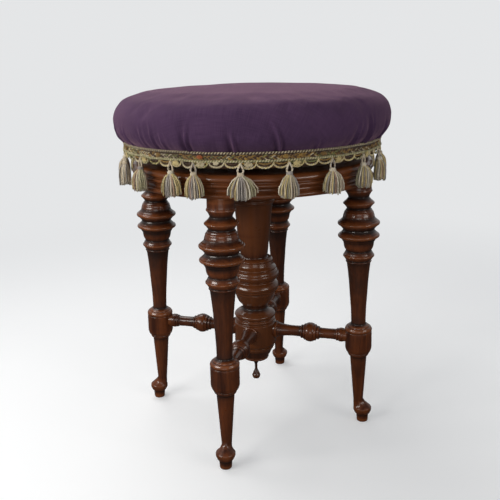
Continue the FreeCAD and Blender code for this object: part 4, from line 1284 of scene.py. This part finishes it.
def scallop_run(first, last, depth, inset, twist, phase, radius):
    """One ply of the cord of a scallop, from one junction down and up to the next."""
    width = (last - first) * (1 - inset)
    start = first + (last - first) * inset / 2
    points = []
    count = 30
    for number in range(count + 1):
        share = number / count
        angle = start + width * (0.5 - math.cos(math.pi * share) / 2)
        fall = math.sin(math.pi * share) ** 0.75 * depth
        turn = share * FULL_TURN * 4.5 + phase
        points.append(
            polar(
                angle + math.cos(turn) * twist / 3.1 * 0.3,
                radius + math.cos(turn) * twist,
                MIDDLE_CORD_HEIGHT - 0.4 - fall + math.sin(turn) * twist,
            )
        )
    return points


def scallops():
    """Loops of two-ply cord under the braid, each with a darker loop inside it."""
    rng = random.Random(11)
    outer = []
    inner = []
    edges = scallop_edges()
    for first, last in zip(edges, edges[1:]):
        depth = SCALLOP_DEPTH + rng.uniform(-1.4, 0.4)
        radius = TRIM_RADIUS + 0.8 + rng.uniform(-0.4, 0.5)
        inset = rng.uniform(-0.04, 0.12)
        pale = rng.choice((0, 0, 0, 4))
        for phase, pick in ((0, pale), (math.pi, rng.choice((0, 2, 4)))):
            outer.append((scallop_run(first, last, depth, inset, 0.66, phase, radius), pick, False))
        pick = rng.choice((1, 1, 2, 3))
        inner.append((scallop_run(first, last, depth * 0.42, 0.2, 0.3, 0, radius - 0.6), pick, False))
    dyes = [cream_cord, gold_cord, olive_cord, brown_cord, straw_cord]
    for name, runs, thickness in (("scallop_loops", outer, 0.7), ("scallop_filling", inner, 0.8)):
        mesh = cords(name, runs, thickness, dyes)
        made = linked(name, mesh)
        dress(made, "seat", "braid")


def tuft_petals(rng, angle, height, wide, tall, pick):
    """Cut threads that spring from one stitch and curl over, as runs of cord."""
    runs = []
    for layer, petals in PETAL_RINGS:
        for petal in range(petals):
            turn = FULL_TURN * (petal + rng.uniform(-0.3, 0.3)) / petals
            length = layer * rng.uniform(0.82, 1.08)
            points = []
            for share in (0.0, 0.3, 0.65, 1.0):
                out = math.sin(share * math.pi * 0.75) * (2.6 - layer) + 0.9
                across = math.cos(turn) * wide * length * share
                rise = math.sin(turn) * tall * length * share
                points.append(
                    polar(angle + across * DEGREES_PER_MM, TRIM_RADIUS + out, height + rise)
                )
            runs.append((points, pick, False))
    return runs


def tufts():
    """Fluffy flowers of cut thread: one beside each tassel, and a few in the band."""
    rng = random.Random(5)
    runs = []
    edges = scallop_edges()
    for number, (first, last) in enumerate(zip(edges, edges[1:])):
        middle = (first + last) / 2
        if number % BETWEEN == 0:
            height = MIDDLE_CORD_HEIGHT - 4.0
            runs += tuft_petals(rng, middle, height, *LARGE_TUFT, rng.choice((0, 0, 1)))
        elif rng.random() < 0.3:
            height = MIDDLE_CORD_HEIGHT - 2.2
            runs += tuft_petals(rng, middle, height, *SMALL_TUFT, 1)
    for number in range(BAND_TUFTS):
        angle = RUST_TUFT + 360 * number / BAND_TUFTS + (rng.uniform(-7, 7) if number else 0)
        pick = 2 if number in RUST_TUFTS else 3
        runs += tuft_petals(rng, angle, PLAIT_HEIGHT + 0.3, *BAND_TUFT, pick)
    dyes = [straw_cord, cream_cord, rust_cord, gold_cord]
    mesh = cords("braid_tufts", runs, 0.5, dyes, 0)
    made = linked("braid_tufts", mesh)
    dress(made, "seat", "braid")


def braid_band():
    """The woven tape behind the cords, ribbed along its length; its very dark colour is partly
    painted shade between the cords.
    """
    inside = 175.9
    low = MIDDLE_CORD_HEIGHT - 2.0
    high = TOP_CORD_HEIGHT + 0.6
    ribs = 7
    rows = [(inside, high), (inside, low), (inside + 0.7, low)]
    for number in range(ribs):
        rows.append((inside + 0.7, low + (high - low) * (number + 1) / ribs, 0.35))
    rows.append((inside, high))
    mesh = turning("braid_band", rows, 240, 0)
    made = linked("braid_band", mesh)
    dress(made, "seat", "braid", "gimp_braid", materials=[band_weave_and_shade])


# The tape's brown is darkened nearly to black: partly its own colour, partly painted shade in the
# gaps between the cords.
band_weave_and_shade = linen("band_weave_and_shade", (0.09, 0.055, 0.025, 1), (0.03, 0.018, 0.01, 1))

HANG_RADIUS = 179.6
LOOP_TOP = MIDDLE_CORD_HEIGHT - 2.6
LOOP_FOOT = 401.8
SKIRT_TOP = 399.4
SKIRT_FOOT = 371.4
WIDE_TASSEL = 1
WIDE_SPREAD = 18.0
# The binding of a tassel's neck, its number of yarns, and the turn from one yarn to the next.
BINDING_TURNS = 6
BINDING_STEPS = 8
FEW_YARNS = 56
MANY_YARNS = 70
YARN_TURN = 0.381966


def teardrop(width, phase, twist):
    """One ply of the loop that a tassel hangs from: pointed above, round below."""
    points = []
    count = 36
    tall = LOOP_TOP - LOOP_FOOT
    for number in range(count + 1):
        share = number / count * FULL_TURN
        across = math.sin(share) * math.sin(share / 2) ** 1.4 * width
        up = LOOP_TOP - tall * (0.5 - math.cos(share) / 2)
        turn = number / count * FULL_TURN * 5 + phase
        points.append((across + math.cos(turn) * twist, math.sin(turn) * twist, up))
    return points


def tassel_runs(rng, spread):
    """The cords and yarns of one tassel, with across, out and up in millimetres."""
    yarns = []
    dye = rng.choice((0, 1, 5))
    loop = [(teardrop(4.6, phase, 0.6), pick, False) for phase, pick in ((0, 0), (math.pi, dye))]
    binding = []
    steps = BINDING_STEPS * BINDING_TURNS
    for number in range(steps + 1):
        turn = FULL_TURN * number / BINDING_STEPS
        belly = 1.2 * math.sin(math.pi * number / steps)
        fall = LOOP_FOOT + 1.2 - number * 0.09
        binding.append((math.cos(turn) * (2.4 + belly), math.sin(turn) * (2.1 + belly), fall))
    loop.append((binding, rng.choice((0, 1, 5)), False))
    lean = rng.uniform(-2.0, 2.0)
    count = MANY_YARNS if spread == WIDE_SPREAD else FEW_YARNS
    favoured = rng.choice((0, 1, 2, 3))
    for number in range(count):
        turn = FULL_TURN * number * YARN_TURN
        share = math.sqrt((number + 4) / (count + 4))
        across = math.cos(turn) * share
        out = math.sin(turn) * share
        hem = rng.uniform(-1.0, 1.4) + across ** 2 * spread * 0.42
        foot = SKIRT_FOOT + hem
        wide = spread * across * rng.uniform(0.95, 1.05) + lean
        deep = (6.2 + spread * 0.12) * out * rng.uniform(0.9, 1.05) + 1.6
        curl = rng.uniform(-0.9, 0.9)
        points = [
            (across * 2.0, out * 1.8, SKIRT_TOP + 2.4),
            (across * 3.0 + lean * 0.1, out * 2.6, SKIRT_TOP + 0.2),
            (wide * 0.62 + curl * 0.3, deep * 0.78, SKIRT_TOP - 4.6),
            (wide * 0.86 + curl * 0.5, deep * 0.98, SKIRT_TOP - 10.6),
            (wide * 0.97 - curl * 0.6, deep * 1.04, SKIRT_TOP - 17.5 + hem * 0.4),
            (wide, deep, foot),
        ]
        sector = int((turn % FULL_TURN) / FULL_TURN * 9)
        pick = (favoured, 0, 1, 3, 5, 2, 1, 4, 0)[sector] if rng.random() < 0.55 else rng.randrange(6)
        yarns.append((points, pick, False))
    return loop, yarns


def smooth_run(points, steps=3):
    """More points along a smooth line through the given ones."""
    made = []
    ends = [points[0], *points, points[-1]]
    for number in range(len(points) - 1):
        before, start, end, after = (Vector(point) for point in ends[number:number + 4])
        for step in range(steps):
            share = step / steps
            made.append(
                0.5 * (
                    2 * start + (end - before) * share
                    + (2 * before - 5 * start + 4 * end - after) * share ** 2
                    + (3 * start - before - 3 * end + after) * share ** 3
                )
            )
    made.append(Vector(points[-1]))
    return made


def tassels():
    """Every tassel, each from its own random numbers, so that no two hang alike."""
    for number in range(TASSELS):
        rng = random.Random(100 + number)
        spread = WIDE_SPREAD if number == WIDE_TASSEL else rng.uniform(12.4, 15.6)
        loop, yarns = tassel_runs(rng, spread)
        name = f"thread_tassel_{number + 1:02d}"
        bm = bmesh.new()
        for runs, thickness, smooth in ((loop, 0.72, False), (yarns, 0.84, True)):
            placed = []
            for points, pick, closed in runs:
                line = smooth_run(points, 2) if smooth else points
                placed.append(([Vector(point) * MM for point in line], pick, closed))
            part = cords(name, placed, thickness, YARNS, 0 if smooth else 1)
            bm.from_mesh(part)
            bpy.data.meshes.remove(part)
        angle = TASSEL_START + TASSEL_STEP * number
        hang = Matrix.Rotation(math.radians(angle), 4, "Z") @ Matrix.Translation(
            (HANG_RADIUS * MM, 0, 0)
        ) @ Matrix(((0, 1, 0, 0), (1, 0, 0, 0), (0, 0, 1, 0), (0, 0, 0, 1)))
        bmesh.ops.transform(bm, matrix=hang, verts=bm.verts)
        bmesh.ops.recalc_face_normals(bm, faces=bm.faces)
        mesh = bpy.data.meshes.new(name)
        bm.to_mesh(mesh)
        bm.free()
        mesh.shade_smooth()
        made = linked(name, mesh)
        dress(made, "seat", "tassel_thread", f"tassel_{number + 1:02d}", materials=YARNS)


# Pieces whose solids are right as they are


def repaint(name, material):
    """Gives a solid that stays its own finish."""
    node = frame["nodes"][name]
    node.data.materials.clear()
    node.data.materials.append(material)


def ironwork():
    """The finish of the solids that stay."""
    for name in ("screw_nut", "seat_spindle", "stop_washer", "stop_nut", "seat_plate"):
        repaint(name, iron)
    for name in ("nut_screws", "seat_plate_screws"):
        repaint(name, screw_steel)
    repaint("cover_tacks", blued)
    repaint("seat_board", deal)


# Stage, light and camera

PALE = (0.78, 0.79, 0.8, 1)
FLOOR_LIFT = 0.36
FLOOR_RADIUS = 4.0
FLOOR_GAP = 0.2
# How far out the floor begins to fade and is as pale as the backdrop, in metres.
FADE_START = 0.35
FADE_END = 1.5


def floor_material():
    """Pale floor that keeps the stool's shadow and fades to the backdrop's tone."""
    material = bpy.data.materials.new("pale_floor")
    material.use_nodes = True
    tree = material.node_tree
    tree.nodes.clear()
    output = tree.nodes.new("ShaderNodeOutputMaterial")
    paper = add(tree, "ShaderNodeBsdfDiffuse", {"Color": (0.74, 0.75, 0.76, 1)})
    lift = add(tree, "ShaderNodeEmission", {"Color": PALE, "Strength": FLOOR_LIFT})
    near = add(tree, "ShaderNodeAddShader", {0: paper.outputs[0], 1: lift.outputs[0]})
    glow = add(tree, "ShaderNodeEmission", {"Color": PALE, "Strength": 1.0})
    clear = add(tree, "ShaderNodeBsdfTransparent")
    dim = add(tree, "ShaderNodeBsdfDiffuse", {"Color": (0.24, 0.24, 0.24, 1)})
    deep = add(tree, "ShaderNodeBsdfDiffuse", {"Color": (0.06, 0.06, 0.06, 1)})
    path = add(tree, "ShaderNodeLightPath")
    lit = add(
        tree, "ShaderNodeMixShader",
        {0: path.outputs["Is Glossy Ray"], 1: dim.outputs[0], 2: deep.outputs[0]},
    )
    place = add(tree, "ShaderNodeTexCoord")
    far = add(tree, "ShaderNodeVectorMath", {0: place.outputs["Object"]}, operation="LENGTH")
    fade = add(
        tree, "ShaderNodeMapRange",
        {"Value": far.outputs["Value"], "From Min": FADE_START, "From Max": FADE_END},
        interpolation_type="SMOOTHSTEP",
    )
    seen = add(
        tree, "ShaderNodeMixShader",
        {0: fade.outputs["Result"], 1: near.outputs[0], 2: glow.outputs[0]},
    )
    surface = add(
        tree, "ShaderNodeMixShader",
        {0: path.outputs["Is Camera Ray"], 1: lit.outputs[0], 2: seen.outputs[0]},
    )
    back = add(tree, "ShaderNodeNewGeometry")
    shown = add(
        tree, "ShaderNodeMixShader",
        {0: back.outputs["Backfacing"], 1: surface.outputs[0], 2: clear.outputs[0]},
    )
    tree.links.new(shown.outputs[0], output.inputs["Surface"])
    return material


def stage():
    """The floor, a hair under the feet."""
    bm = bmesh.new()
    bmesh.ops.create_circle(bm, cap_ends=True, radius=FLOOR_RADIUS, segments=64)
    bmesh.ops.translate(bm, vec=(0, 0, -FLOOR_GAP * MM), verts=bm.verts)
    mesh = bpy.data.meshes.new("floor")
    bm.to_mesh(mesh)
    bm.free()
    floor = linked("floor", mesh)
    floor.data.materials.append(floor_material())


def world():
    """Soft even light from all round, a pale backdrop, and a room that shines from behind."""
    made = bpy.data.worlds.new("studio")
    bpy.context.scene.world = made
    made.use_nodes = True
    tree = made.node_tree
    tree.nodes.clear()
    output = tree.nodes.new("ShaderNodeOutputWorld")
    light = add(tree, "ShaderNodeBackground", {"Color": (0.9, 0.94, 1.0, 1), "Strength": 0.24})
    place = add(tree, "ShaderNodeTexCoord")
    far_side = (-math.sin(CAMERA_SIDE), math.cos(CAMERA_SIDE), 0)
    behind = add(
        tree, "ShaderNodeVectorMath", {0: place.outputs["Generated"], 1: far_side},
        operation="DOT_PRODUCT",
    )
    spread = add(
        tree, "ShaderNodeMapRange",
        {
            "Value": behind.outputs["Value"], "From Min": -0.2, "From Max": 0.85,
            "To Min": 0.07, "To Max": 0.6,
        },
    )
    shine = add(tree, "ShaderNodeBackground", {"Color": PALE, "Strength": spread.outputs[0]})
    seen = add(tree, "ShaderNodeBackground", {"Color": PALE, "Strength": 1.0})
    path = add(tree, "ShaderNodeLightPath")
    reflected = add(
        tree, "ShaderNodeMixShader",
        {0: path.outputs["Is Glossy Ray"], 1: light.outputs[0], 2: shine.outputs[0]},
    )
    mix = add(
        tree, "ShaderNodeMixShader",
        {0: path.outputs["Is Camera Ray"], 1: reflected.outputs[0], 2: seen.outputs[0]},
    )
    tree.links.new(mix.outputs[0], output.inputs["Surface"])


def lamp(name, place, aim, size, power, colour):
    """A soft rectangular lamp at a place, aimed at a point."""
    data = bpy.data.lights.new(name, "AREA")
    data.shape = "RECTANGLE"
    data.size, data.size_y = size
    data.energy = power
    data.color = colour
    made = bpy.data.objects.new(name, data)
    bpy.context.scene.collection.objects.link(made)
    made.location = place
    made.rotation_mode = "QUATERNION"
    made.rotation_quaternion = (Vector(aim) - Vector(place)).to_track_quat("-Z", "Y")


def lamps():
    """A large soft skylight, low windows at the left and right, and the dim side of the room."""
    lamp("skylight", (-0.75, 0.4, 1.75), (0, 0, 0.4), (1.3, 1.0), 15, (1.0, 0.98, 0.95))
    lamp("window_left", (-1.0, -1.1, 0.85), (0, 0, 0.35), (1.1, 0.3), 14, (1.0, 0.97, 0.93))
    lamp("window_right", (1.25, -0.6, 0.7), (0, 0, 0.25), (0.7, 0.3), 3.5, (1.0, 0.96, 0.91))
    lamp("room", (0.4, -1.55, 0.45), (0, 0, 0.35), (0.9, 0.6), 3.0, (1.0, 0.97, 0.94))


# Where the picture was taken from: metres out and up, turn round the stool, aim and lens.
CAMERA_OUT = 0.9399
CAMERA_HEIGHT = 0.5275
CAMERA_SIDE = math.radians(15.18)
CAMERA_YAW = math.radians(-0.36)
CAMERA_DIP = math.radians(15.933)
CAMERA_ROLL = math.radians(1.165)
FOCAL_PIXELS = 660.96
PICTURE_PIXELS = 500
SENSOR = 36.0


def camera():
    """The camera that was fitted to the picture: its stand, aim, roll and lens."""
    data = bpy.data.cameras.new("photograph")
    data.sensor_width = SENSOR
    data.lens = FOCAL_PIXELS / PICTURE_PIXELS * SENSOR
    made = bpy.data.objects.new("photograph", data)
    bpy.context.scene.collection.objects.link(made)
    ahead = Vector(
        (
            math.sin(CAMERA_YAW) * math.cos(CAMERA_DIP),
            math.cos(CAMERA_YAW) * math.cos(CAMERA_DIP),
            -math.sin(CAMERA_DIP),
        )
    )
    across = Vector((math.cos(CAMERA_YAW), -math.sin(CAMERA_YAW), 0))
    down = ahead.cross(across)
    right = across * math.cos(CAMERA_ROLL) + down * math.sin(CAMERA_ROLL)
    below = down * math.cos(CAMERA_ROLL) - across * math.sin(CAMERA_ROLL)
    aim = Matrix((right, -below, -ahead)).transposed().to_4x4()
    place = Matrix.Translation((0, -CAMERA_OUT, CAMERA_HEIGHT))
    made.matrix_world = Matrix.Rotation(CAMERA_SIDE, 4, "Z") @ place @ aim
    bpy.context.scene.camera = made


bpy.context.scene.view_settings.view_transform = "Standard"
camera()
world()
lamps()
stage()
legs()
top_board()
centre_column()
drop()
stretchers()
stuffed_seat()
braid_band()
edge_cords()
plait()
scallops()
tufts()
tassels()
ironwork()
